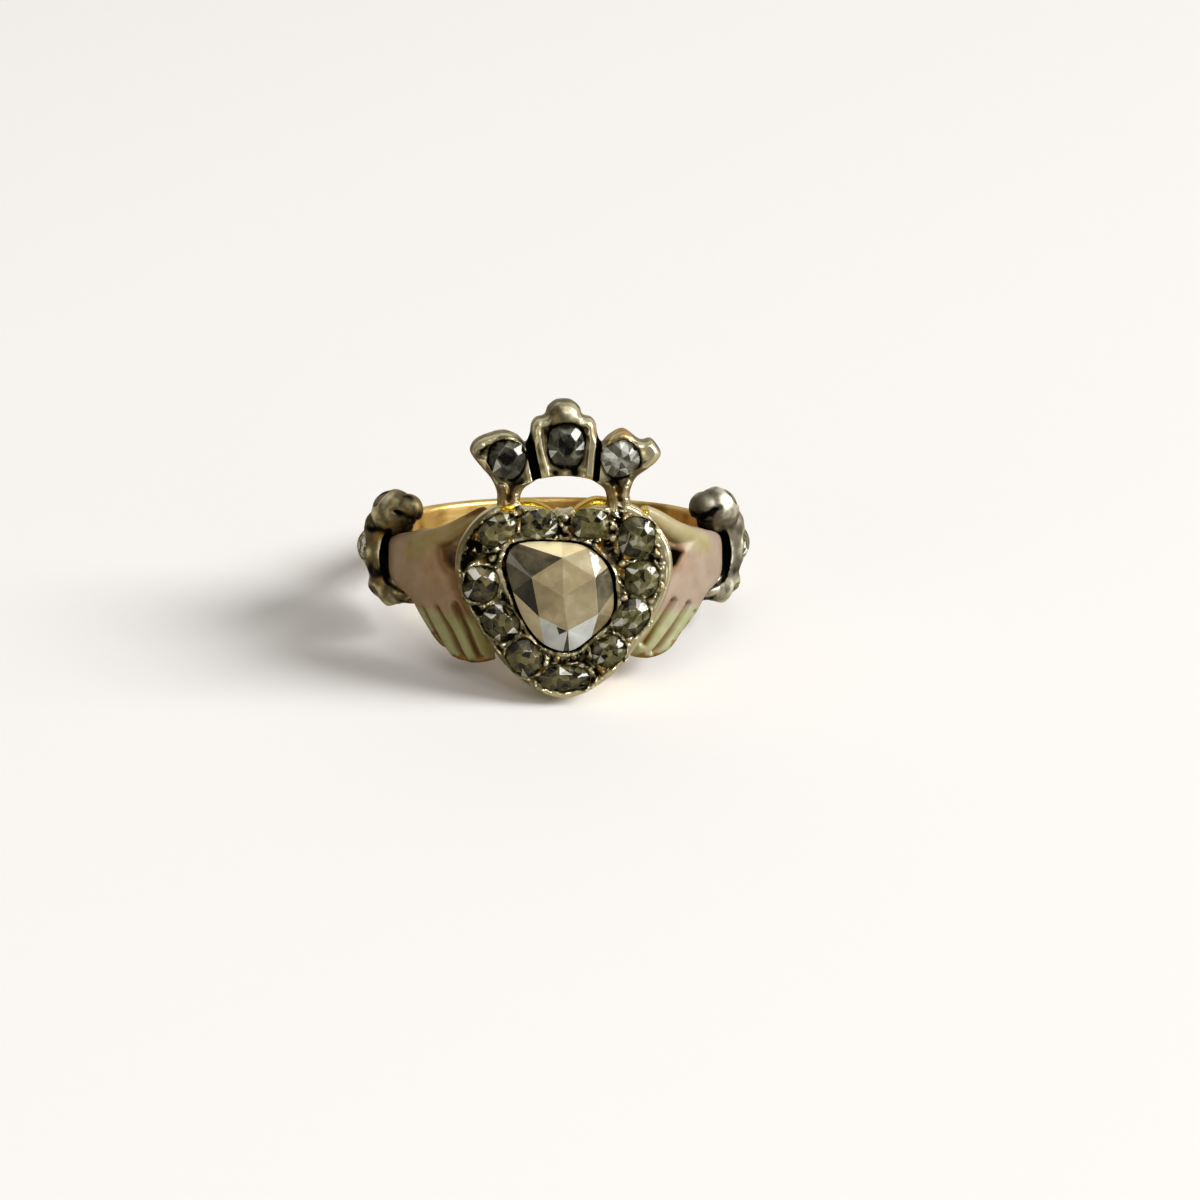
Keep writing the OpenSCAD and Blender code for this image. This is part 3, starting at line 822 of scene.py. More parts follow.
# The side wall, and the plain underside that meets the gold plate.
wall = [(0.02, PLATE_FRONT), (0.9, PLATE_FRONT), (0.985, PLATE_FRONT + 0.02),
        (1, PLATE_FRONT + 0.12), (1, PLATE_FRONT + 0.35), (1, PLATE_FRONT + 0.6)]
loops = np.stack([np.insert(MIDDLE + k * reach, 1, -d, axis=1) for k, d in wall])
points, faces = skin(np.vstack([loops, front]))


def on_all(front_values, wall_value=0.0, poles=(0, 0)):
    """The front's values with those of the side wall before and of both poles after."""
    return np.concatenate([np.full(len(wall) * AROUND, wall_value), front_values, poles])


# %% The setting's wear and gilding
cup, seat, shut = (on_all(a, poles=(0, a[-1])) for a in (cup, seat, shut))
stands = relief(points, faces, 40)
print("relief of the setting", np.percentile(stands, [5, 50, 95]).round(3))
x, z = points[:, 0], points[:, 2]
within = on_all(ramp(inset, 0.3, 0.4))
near_rim = on_all(1 - ramp(inset, 0.5, 0.75))
# Painted light: the rim is painted darker along the left side and brighter on the right, as light
# falls from the right.
smooth_rim = on_all(0.42 * (inset < 0.1), 0.6, (0.5, 0)) * (1 - 0.3 * at_left(x, z))
dulled = 1 - 0.5 * within * ramp(waves(points, 0.7, 12), -0.3, 0.5)
wear = np.clip(0.3 + stands / 0.12, 0, 1) * dulled
wear += near_rim * (0.5 * ramp(x, 2.6, 3.4) - 0.2 * ramp(-x, 3.0, 3.8))
wear *= 1 - 0.4 * near_rim * at_left(x, z)
wear = np.maximum(np.clip(wear, 0, 1), smooth_rim) * (1 - np.maximum(cup, shut))
gilt = 0.28 * ramp(waves(points, 0.9, 13), 0.3, 1.1) * within
piece("heart_setting", points, faces, silver, "silver", "ring_mount", wear=wear,
      foil=np.maximum(cup * 0.5, seat), gilt=gilt)

# %% [markdown]
# ## The crown
# The crown stands on two feet over the heart: three cup-shaped settings with thick
# rounded walls, black gaps between them, small beads and a knob. It is a strip: one
# edge runs along the arch under the crown, the other along its top, and a height
# field gives the front its relief.

# %% Two edges of the crown, matched point by point: arch x, z and top x, z
CROWN_T, CROWN_SUNK = 0.95, 0.4
CROWN_BACK = DECK - CROWN_T - 0.15
CROWN_FRONT = CROWN_BACK + CROWN_T
LADDER = np.array([
    [2.3, 3.2, 3.5, 3.2], [2.28, 3.6, 3.43, 3.7], [2.2, 4.1, 3.46, 4.25], [2.02, 4.4, 3.75, 4.9],
    [1.8, 4.56, 4.25, 5.5], [1.65, 4.66, 4.68, 6.05], [1.55, 4.72, 4.82, 6.45],
    [1.45, 4.77, 4.53, 6.93], [1.35, 4.81, 3.85, 7.24], [1.2, 4.86, 3.1, 7.4],
    [1.0, 4.9, 2.4, 7.16], [0.9, 4.92, 1.98, 6.78], [0.8, 4.94, 1.74, 7.2],
    [0.7, 4.95, 1.66, 7.72], [0.6, 4.96, 1.42, 8.05], [0.45, 4.98, 0.98, 8.2],
    [0.3, 4.99, 0.8, 8.62], [0.12, 5, 0.4, 8.94], [0, 5, 0.02, 9.0],
])
# The right tip is a round bulb, with a dip before the setting's top.
LADDER_RIGHT = LADDER.copy()
LADDER_RIGHT[4:10, 2:] = [
    [4.35, 5.35], [4.85, 5.78], [5.02, 6.25], [4.55, 6.9], [3.95, 6.88], [3.1, 7.44]
]
CROWN_STONES = np.array([
    [-2.93, 6.0, 2.1, 1.9, 75], [0.1, 6.66, 2.3, 1.86, 90], [2.9, 5.97, 1.95, 2.0, 105]
])
# Walls that run down between the settings: line, half width and height.
BARS = [
    ([(-1.3, 7.7), (-1.2, 6.6), (-1.0, 5.8), (-0.82, 5.1)], 0.26, 0.5),
    ([(1.5, 7.9), (1.47, 7.0), (1.36, 6.0), (1.3, 5.1)], 0.34, 0.64),
    ([(-2.2, 7.0), (-1.92, 6.2), (-1.62, 5.0)], 0.09, 0.4),
    ([(2.05, 7.0), (1.95, 6.2), (1.82, 5.1)], 0.08, 0.25),
    ([(-2.9, 4.75), (-2.85, 3.9)], 0.2, 0.2), ([(3.05, 4.9), (2.95, 3.7)], 0.22, 0.3),
]
# The black gaps between the settings: line and half width.
GAPS = [([(-1.88, 7.6), (-1.7, 6.3), (-1.4, 4.9)], 0.24),
        ([(1.84, 7.4), (1.76, 6.2), (1.64, 4.9)], 0.16)]
# Patches of painted shade below and between the settings and on the knob: x, z, radius and
# strength.
SHADES = [(-3.2, 4.1, 0.4, 0.8), (-2.3, 4.75, 0.45, 0.7), (2.4, 4.6, 0.45, 0.8),
          (-0.5, 5.25, 0.36, 1.0), (0.55, 5.28, 0.36, 1.0), (-4.3, 6.25, 0.3, 0.7),
          (-1.35, 5.5, 0.3, 0.5), (1.05, 6.2, 0.4, 0.5), (-1.0, 7.3, 0.35, 0.6),
          (3.5, 5.0, 0.3, 0.4), (0.95, 7.4, 0.3, 0.4), (-0.5, 8.2, 0.35, 0.35)]
BEADS = [(-4.45, 6.5, 0.36), (4.4, 6.22, 0.56), (-3.1, 7.16, 0.34), (3.1, 7.08, 0.36),
         (-1.38, 7.72, 0.32), (1.45, 7.75, 0.3), (-0.02, 5.3, 0.24), (-2.8, 4.35, 0.24),
         (2.95, 4.75, 0.24), (0.05, 8.1, 0.86)]
INSIDE_DROP, WALL = 0.2, 0.56  # how deep the cups lie and how high their walls stand


def crown_surface(x, z, edge):
    """Height of the crown's front and its cups: a dark low inside, a rounded wall along
    every edge, bars and beads, then the gaps and cups cut in."""
    flat = np.stack([x, z], -1)
    height = CROWN_FRONT - INSIDE_DROP + 0.06 * waves(flat, 0.5, 21)
    wall = WALL * hump(edge, 0.36, 0.36) * (1 - 0.55 * ramp(5.6 - z, 0, 0.5) * ramp(z, 4.6, 4.9))
    height = height + wall + 0.03 * waves(flat, 1.1, 22) * (wall > 0.1)
    for line, half, rise in BARS:
        height = soft_max(
            height, CROWN_FRONT - INSIDE_DROP + rise * hump(line_distance(flat, line), 0, half)
        )
    for bx, bz, r in BEADS:
        far = np.hypot(x - bx, z - bz) / r
        bead = CROWN_FRONT - 0.05 + 0.75 * r * np.sqrt(np.clip(1 - far**2, 0, 1))
        height = np.where(far < 1, soft_max(height, bead, 0.05), height)
    height, cup = set_stones(x, z, height, CROWN_STONES, CROWN_FRONT + 0.08, 0.05, 24)
    gap = np.zeros_like(x)
    for line, half in GAPS:
        cut = 1 - ramp(line_distance(flat, line), half * 0.5, half * 1.15)
        gap = np.maximum(gap, cut)
    height = height - 0.75 * gap * (1 - cup)
    # The outline rolls back over a third of a millimetre, the knob over more.
    knob = 1 - ramp(np.hypot(x - 0.05, z - 8.1), 0.6, 1.0)
    fall = np.clip(1 - edge / (0.34 + 0.35 * knob), 0, 1)
    top = CROWN_FRONT + 0.36 + 0.3 * knob
    height = np.minimum(height, top - (1.0 + 0.3 * knob) * (1 - np.sqrt(1 - fall**2 * 0.99)))
    return height, cup, gap


# %% The crown's grid: steps along the strip, rows across it
ALONG, ACROSS = 310, 70
steps = np.linspace(0, 1, ALONG)
halves = open_curve(LADDER, steps), open_curve(LADDER_RIGHT, steps)
strip = np.vstack([halves[0] * [-1, 1, -1, 1], halves[1][-2::-1]])
low, high = strip[:, :2], strip[:, 2:]
crowded = (1 - np.cos(np.linspace(0, np.pi, ACROSS))) / 2
share = crowded * 0.4 + np.linspace(0, 1, ACROSS) * 0.6
flat = low[:, None] + share[None, :, None] * (high - low)[:, None]
loop = np.vstack([low, high[::-1]])
edge = np.maximum(edge_distance(flat.reshape(-1, 2), loop), 0).reshape(len(strip), ACROSS)
edge[:, 0] = edge[:, -1] = 0
# The feet run on into the heart, so their ends don't roll over.
foot = 0.6 - np.abs(np.abs(flat[..., 0]) - 2.88)
edge = np.where(flat[..., 1] < 3.9, np.maximum(np.minimum(foot, 1), 0), edge)
height, cup, gap = crown_surface(flat[..., 0].ravel(), flat[..., 1].ravel(), edge.ravel())
front = np.insert(flat.reshape(-1, 2), 1, -height, axis=1).reshape(*flat.shape[:2], 3)
# Round the outside edge, across the plain back and up the arch's wall.
tour = [(1, CROWN_FRONT - 0.75), (1, CROWN_BACK + 0.12), (0.97, CROWN_BACK), (0.75, CROWN_BACK),
        (0.5, CROWN_BACK), (0.25, CROWN_BACK), (0.03, CROWN_BACK), (0, CROWN_BACK + 0.12),
        (0, CROWN_FRONT - 0.75)]
rest = np.stack([np.insert(low + k * (high - low), 1, -d, axis=1) for k, d in tour], 1)
points, faces = skin(np.concatenate([front, rest], 1))


def all_round(front_values, back_value=0.0, pole=0.0):
    """The front's values with those of the edges and back, and of both poles."""
    front_rows = np.reshape(front_values, (len(strip), ACROSS))
    back_rows = np.full((len(strip), len(tour)), back_value)
    return np.append(np.hstack([front_rows, back_rows]).ravel(), [pole, pole])


# %% The crown's wear and gilding
x, z = points[:, 0], points[:, 2]
cup, gap, rim = all_round(cup), all_round(gap), all_round(edge)
inside = all_round(height, CROWN_FRONT, 11)
stands = relief(points, faces, 160)
print("relief of the crown", np.percentile(stands, [5, 50, 95]).round(3))
raised = 0.15 + 0.85 * ramp(inside, CROWN_FRONT - 0.2, CROWN_FRONT + 0.15)
wear = np.clip(0.42 + stands / 0.3, 0, 1) * raised
for sx, sz, r, strength in SHADES:
    wear *= 1 - strength * round_patch(x, z, sx, sz, r)
# The two main bars are rubbed bright and carry a painted highlight as well.
for line, half, rise in BARS[:2]:
    wear += 0.4 * hump(line_distance(points[:, ::2], line), 0, half * 1.1)
beside_stones = np.min([(girdle_share(x, z, s) - 1) * s[3] / 2 for s in CROWN_STONES], 0)
wear *= 0.2 + 0.8 * ramp(beside_stones, 0.03, 0.16)
# The outer edge stays rubbed, with a painted highlight towards the top, and the knob's left is
# painted in shade.
outer = np.maximum(ramp(z, 5.4, 5.8), ramp(np.abs(x), 2.1, 2.4))
least = 0.5 + 0.14 * ramp(z, 6.2, 6.8) + 0.1 * waves(points, 0.8, 25)
wear = np.maximum(wear, least * (1 - ramp(rim, 0.34, 0.46)) * outer)
wear *= 1 - 0.35 * round_patch(x, z, -0.25, 8.3, 0.7)
wear = np.clip(wear, 0, 1) * (1 - cup) * (1 - gap)
gilt = hump(np.hypot((x - 3.0) / 0.75, (z - 7.25) / 0.3), 0, 1)
gilt = gilt * (0.6 + 0.5 * waves(points, 0.9, 26)) + 0.1 * ramp(-z, -4.7, -4.3)
gilt = np.clip(gilt, 0, 0.6) * (1 - cup)
piece("crown", points, faces, silver, "silver", "ring_mount", wear=wear, foil=cup * 0.4,
      gilt=gilt)

# %% [markdown]
# ## Fusing shapes
# The cuffs and hands were modelled in wax and cast, so their parts flow into each
# other. Closed numpy shells are laid over each other, and Blender's voxel Remesh
# gives them one skin, which a few smoothing passes soften as wax does. The smallest
# voxel Blender takes is 0.0001, so this is done with 1 unit for 1 mm.

# %% One skin over several shells


def fused(shells, voxel, passes):
    """Points and quads of one skin over closed shells given as (points, faces)."""
    objects = []
    for points, faces in shells:
        mesh = mesh_of("shell", points, outward(points, faces))
        objects.append(bpy.data.objects.new("shell", mesh))
        bpy.context.scene.collection.objects.link(objects[-1])
    with bpy.context.temp_override(active_object=objects[0], selected_editable_objects=objects):
        bpy.ops.object.join()
    whole = objects[0]
    remesh = whole.modifiers.new("one skin", "REMESH")
    remesh.mode, remesh.voxel_size = "VOXEL", voxel
    smooth = whole.modifiers.new("wax", "SMOOTH")
    smooth.factor, smooth.iterations = 0.5, passes
    graph = bpy.context.evaluated_depsgraph_get()
    made = bpy.data.meshes.new_from_object(whole.evaluated_get(graph))
    points = np.empty(len(made.vertices) * 3, np.float32)
    made.vertices.foreach_get("co", points)
    quads = np.empty(len(made.loops), np.int32)
    made.loops.foreach_get("vertex_index", quads)
    bpy.data.meshes.remove(made)
    bpy.data.objects.remove(whole)
    return points.reshape(-1, 3).astype(float), [quads.reshape(-1, 4)]


def ball(middle, radii, count=32):
    """An ellipsoid about its middle: loops of latitude between two poles."""
    tilt = np.radians(np.linspace(-90, 90, count)[1:-1])[:, None]
    turn = np.linspace(0, 2 * np.pi, count, endpoint=False)[None]
    level = np.cos(tilt)
    unit = np.stack(
        np.broadcast_arrays(level * np.cos(turn), level * np.sin(turn), np.sin(tilt)), -1
    )
    return skin(np.asarray(middle) + unit * radii)


# %% Two small claws of the gold plate, bent over the silver: middle and radii
CLAWS = [((-2.95, -11.4, 3.45), (0.42, 0.34, 0.24)), ((4.22, -10.45, 3.1), (0.25, 0.75, 0.25))]
claw_points, claw_faces, count = [], [], 0
for middle, radii in CLAWS:
    points, faces = ball(middle, radii, 28)
    claw_points.append(points + 0.05 * waves(points, 0.5, 28)[:, None] * (points - middle))
    claw_faces.append([f + count for f in faces])
    count += len(points)
faces = [np.vstack(pair) for pair in zip(*claw_faces)]
piece("gold_claws", np.vstack(claw_points), faces, yellow_gold, "gold", "ring_mount")

# %% [markdown]
# ## The cuffs
# Each cuff is a scalloped sleeve end: a C-shaped shell whose mouth faces the heart,
# with three round lobes that each hold a stone and ends that curl in like a scroll.
# An arched section is carried along the band from the tail to the mouth, turns over
# the lip and goes back inside. Lobes and curls are balls laid over it.

# %% Sections, mouth, lobes and curls of a cuff
CUFF_AT, LOBE_R, CURL_R, STONE_LEAN = 78, 1.12, 0.95, 8
CUFF_ROWS = [
    [-9.5, 10.4, 2.7, 8], [-6.5, 10.6, 2.85, 7], [-1, 10.55, 2.85, 5],
    [5, 10.1, 2.4, 2], [11, 9.5, 1.5, 0], [15, 9.05, 0.85, 0],
]
LOBES = {"top": (-9, 9.4, 2.1, 50), "middle": (-1.5, 9.88, 0.1, 0),
         "bottom": (-5.5, 9.45, -1.8, -45)}
CURLS = [(-16, 9.1, 2.35, 0.92)]
CUFF_STONE = (1.4, 1.25)
MOUTH_MIDDLE, MOUTH_HALF, MOUTH_END = (9.34, -0.52), (0.84, 2.1), CUFF_AT - 3
# Balls of wax between a lobe and its curl: offset, radius from the middle, height, size.
FILLS = [(-12.5, 9.5, 2.3, 1.08), (-10.5, 9.55, 2.0, 1.1), (-4.7, 9.76, 1.25, 1.0),
         (-3.5, 9.75, -0.9, 0.9), (-8, 9.45, -2.0, 0.98), (-11.5, 9.42, -2.1, 0.78),
         (-14, 9.4, -2.1, 0.64), (-16, 9.35, -2.05, 0.52)]
# Creases on the side towards the viewer: x and z along each, half width and depth.
CREASES = [([(8.75, 2.4), (8.35, 2.25), (7.95, 2.0), (7.5, 1.72)], 0.14, 0.12),
           ([(9.3, -1.45), (8.9, -1.75), (8.5, -1.92), (8.1, -2.02)], 0.08, 0.16),
           ([(9.0, 1.2), (9.25, 0.2), (9.2, -0.8)], 0.14, 0.06)]


def signed_power(x, k):
    """The power of the size, with the sign kept: it squares or rounds an ellipse."""
    return np.sign(x) * np.abs(x) ** k


def cuff_shell():
    """The C-shaped shell: arched outer sections from tail to mouth, then the lip, then
    rounded inner sections back into the mouth."""
    a = np.linspace(0, 2 * np.pi, 96, endpoint=False)[None]
    c, s = np.cos(a), np.sin(a)
    row = open_curve(CUFF_ROWS, np.linspace(1, 0, 48))[..., None]
    offset, r_out, tall, lean = row[:, 0], row[:, 1], row[:, 2], row[:, 3]
    floor = BORE_R + 0.3
    r = np.where(c > 0, floor + (r_out - floor) * np.abs(c) ** 0.8, floor - 0.2 * np.abs(c) ** 0.5)
    z = tall * s
    outer = place(CUFF_AT + offset - lean * s**2, z, r)
    hole_r = MOUTH_MIDDLE[0] + MOUTH_HALF[0] * signed_power(c, 0.8)
    hole_z = MOUTH_MIDDLE[1] + MOUTH_HALF[1] * signed_power(s, 0.8)
    lip = CUFF_AT + CUFF_ROWS[0][0] - CUFF_ROWS[0][3] * s**2
    turned_in = place(lip - 0.7, 0.5 * (z[-1:] + hole_z), 0.5 * (r[-1:] + hole_r))
    inner = place(lip + np.linspace(0.2, 1, 12)[:, None] * (MOUTH_END - lip), hole_z, hole_r)
    return skin(np.concatenate([outer, turned_in, inner]))


def lobe_frame(lobe):
    """Middle of a lobe and its three axes, the last pointing out of the lobe's stone."""
    offset, r, z, tilt = lobe
    a = math.radians(CUFF_AT + offset - STONE_LEAN - 90)
    b = math.radians(90 - tilt)
    about_z = np.array([[math.cos(a), -math.sin(a), 0], [math.sin(a), math.cos(a), 0], [0, 0, 1]])
    about_y = np.array([[math.cos(b), 0, math.sin(b)], [0, 1, 0], [-math.sin(b), 0, math.cos(b)]])
    return place(CUFF_AT + offset, z, r), about_z @ about_y


# %% The cast cuff, with its dents, creases and seats pressed in
CUFF_VOXEL, CUFF_PASSES = 0.055, 16
shells = [cuff_shell()]
shells += [ball(lobe_frame(lobe)[0], LOBE_R) for lobe in LOBES.values()]
shells += [ball(place(CUFF_AT + o, z, r), CURL_R * k) for o, r, z, k in CURLS]
shells += [ball(place(CUFF_AT + o, z, r), k) for o, r, z, k in FILLS]
cuff_points, cuff_faces = fused(shells, CUFF_VOXEL, CUFF_PASSES)
# What belongs to the mouth and to the folds is read before the dents move the points.
x, y, z = cuff_points.T
lip_offset, _, lip_tall, lip_lean = CUFF_ROWS[0]
lip = CUFF_AT + lip_offset - lip_lean * (z / lip_tall) ** 2
angle, radius = np.degrees(np.arctan2(x, -y)), np.hypot(x, y)
# Creases where each end curls in, and dents left by wear.
crease = np.zeros(len(z))
for line, half, deep in CREASES:
    far = line_distance(cuff_points[:, ::2], line)
    crease += deep * hump(far, 0, half) * ramp(-y, 3.6, 4.4)
dents = 0.03 * waves(cuff_points, 2.0, 30) + 0.006 * waves(cuff_points, 0.7, 31)
cuff_points = cuff_points + (dents - crease)[:, None] * normals(cuff_points, cuff_faces)
bed = np.zeros(len(cuff_points))
for lobe in LOBES.values():
    middle, axes = lobe_frame(lobe)
    u, v, w = ((cuff_points - middle) @ axes).T
    q = girdle_share(u, v, [0, 0, *CUFF_STONE, 0])
    beyond = (q - 1) * CUFF_STONE[1] / 2
    ahead = w > 0
    ragged = 1 + 0.3 * waves(cuff_points, 0.9, 31)
    lifted = w + np.where(ahead, 0.1 * ragged * hump(beyond, 0.12, 0.2), 0)
    bowl = LOBE_R - 0.48 - 0.35 * (1 - q)
    seat = ahead & (beyond < -0.04)
    pressed = np.where(seat, np.minimum(lifted, bowl), lifted)
    cuff_points = cuff_points + (pressed - w)[:, None] * axes[:, 2]
    bed = np.maximum(bed, seat)

# %% The cuffs' wear: dark in creases, painted shade in the folds, the mouth and the top ball's end, patchy on the left
stands = relief(cuff_points, cuff_faces, 120)
print("relief of a cuff", np.percentile(stands, [5, 50, 95]).round(3))
wear = np.clip(0.4 + stands / 0.3 - crease * 2, 0, 0.9)
# Painted shade in the folds between the lobes, on the outer side.
in_folds = (hump(z, 1.2, 0.26) + hump(z, -1.2, 0.3)) * ramp(x, 8.7, 9.2)
# Painted shade on the top ball's inner end, on the side towards the viewer.
wear *= 1 - round_patch(x, z, 7.45, 1.75, 1.0) * ramp(-y, 2.8, 3.6)
hole = np.hypot((radius - MOUTH_MIDDLE[0]) / (MOUTH_HALF[0] + 0.1),
                (z - MOUTH_MIDDLE[1]) / (MOUTH_HALF[1] + 0.12))
# Painted shade: the inside of the mouth is painted black.
dark = ramp(angle - lip, -1.6, 0.2) * (1 - ramp(hole, 0.94, 1.06))
dark *= 1 - ramp(angle, MOUTH_END + 0.5, MOUTH_END + 2)
wear = np.clip(wear, 0, 1) * (1 - dark) * (1 - bed)
wear = blurred(cuff_points, cuff_faces, wear, 3)
patches, smears = waves(cuff_points, 1.3, 33), ramp(waves(cuff_points, 1.1, 34), 0.2, 0.9)
# The left cuff is patchier, and its painted fold shade deeper, than the right.
for side, sign, patchy, cool in (("left", -1, 0.5, 0), ("right", 1, 0.12, 1)):
    uneven = wear * (1 + patchy * patches) * (1 - 1.6 * patchy * in_folds)
    piece(f"cuff_{side}", cuff_points * [sign, 1, 1], cuff_faces, silver, "silver", "ring_mount",
          wear=np.clip(uneven, 0, 1), foil=bed * 0.4, cool=bed * 0 + cool,
          gilt=0.5 * patchy * smears * (1 - dark))

# %% [markdown]
# ## The hands
# A hand comes out of each cuff and lays four fingers along the heart, with its
# thumb over the top. Its skin is a grid: t runs from the wrist to the fingertips and
# v across the hand, and the height over the band has a rise from the wrist and
# rounded edges and tips. The thumb is a tapered tube, and a few balls close the web
# between the two. All are fused, and then the grooves between the fingers and the
# hollow under the thumb are pressed into the fused skin. The enamel's marks come
# from distances on the unrolled band to the thumb, the grooves and the hollow.

# %% Rows of the hand, and each hand's own thumb, grooves and hollow
HAND_ROWS = [
    [69.5, -1.45, 69.5, 0.75], [62, -1.85, 58, 1.25], [54.5, -2.2, 42, 1.5],
    [48.5, -2.95, 28, -1.5], [42.5, -3.85, 23.5, -3.1], [37, -4.5, 21, -4.8],
]
HAND_T, GAP = 1.0, 0.04
# Angle from the heart, height and half thickness along the thumb; angle and height of
# the ends of each groove; and the hollow between thumb and hand.
THUMBS = {
    "left": [[54, 0.6, 0.5], [46, 1.0, 0.6], [38.5, 1.45, 0.56], [31, 2.2, 0.44],
             [23.5, 3.05, 0.3]],
    "right": [[54, 0.7, 0.5], [46, 1.1, 0.6], [38.5, 1.6, 0.58], [31.5, 2.35, 0.48],
              [25, 2.95, 0.36]],
}
GROOVES = {
    "left": [[(44.6, -2.6), (40.5, -3.7), (36.5, -4.8)],
             [(39.3, -2.35), (34.5, -3.5), (30.3, -4.9)],
             [(32.6, -2.1), (29, -3.3), (25.2, -4.8)]],
    "right": [[(44.5, -2.9), (41, -3.7), (36.5, -4.6)],
              [(41, -2.3), (35, -3.5), (28.3, -4.7)],
              [(35, -2.0), (30, -3.1), (25, -4.1)]],
}
HOLLOWS = {
    "left": [(33, 0.9), (38, 0.82), (37.2, 0.15), (35.4, -0.15), (33, -0.3)],
    "right": [(35.5, 0.8), (39.3, 0.5), (36.5, -0.1), (35, -0.2)],
}
# Balls of wax that close the skin between thumb and hand: angle and height.
WEB = [(39, 1.15), (37.5, 0.8), (36, 0.5), (34.5, 0.2), (36.5, 1.35), (34.8, 1.0), (33, 0.6),
       (32.5, 1.3)]
UNROLLED = BAND_R + 0.55  # millimetres per radian where the hands lie
HAND_VOXEL, HAND_PASSES = 0.042, 30


def unrolled(line):
    """Angles and heights as flat millimetres on the unrolled band."""
    line = np.asarray(line, float)
    return np.column_stack([np.radians(line[:, 0]) * UNROLLED, line[:, 1]])


def hand_shell(reach):
    """Loops across the hand, over its skin and back along the band: the height over the
    band rises from the wrist and rounds off at the edges and tips."""
    t, v = np.meshgrid(np.linspace(0, 1, 150), np.linspace(0, 1, 120), indexing="ij")
    row = open_curve(HAND_ROWS, t)
    row = row + reach * np.maximum(2 * t - 1, 0)[..., None] * [1, -0.05, 0.3, -0.1]
    angle = row[..., 0] + (row[..., 2] - row[..., 0]) * v
    z = row[..., 1] + (row[..., 3] - row[..., 1]) * v - 0.35 * t**2 * np.sin(np.pi * v)
    edge = (1 - np.abs(2 * v - 1) ** 4) ** 0.6
    rise = 0.18 + 0.82 * np.sin(np.pi / 2 * np.minimum(t / 0.45, 1))
    tip = np.sqrt(np.clip(1 - (np.maximum(t - 0.88, 0) / 0.14) ** 2, 0, 1))
    body = HAND_T - 0.13 + 0.06 * hump(t, 0.62, 0.1)
    height = 0.22 + edge * tip * body * rise
    outer = place(angle, z, BAND_R + GAP + height)
    inner = place(angle, z, BAND_R + GAP)[:, ::-1]
    return skin(np.concatenate([outer, inner], 1))


def thumb_shell(side):
    """A round section carried along the thumb on the unrolled band, closed at its tip."""
    t = np.linspace(0, 1, 40)
    angle, z, r = open_curve(THUMBS[side], t).T
    r = r * np.sqrt(np.clip(1 - (np.maximum(t - 0.88, 0) / 0.122) ** 2, 0, 1))
    middle = BAND_R + GAP + 0.4
    run = np.gradient(angle) * middle * np.pi / 180
    turn = np.arctan2(np.gradient(z), -run)[:, None]
    a = np.linspace(0, 2 * np.pi, 36, endpoint=False)[None]
    across = r[:, None] * np.cos(a)
    angle = angle[:, None] + np.degrees(across * np.sin(turn) / middle)
    z = z[:, None] + across * np.cos(turn)
    return skin(place(angle, z, middle + 0.85 * r[:, None] * np.sin(a)))


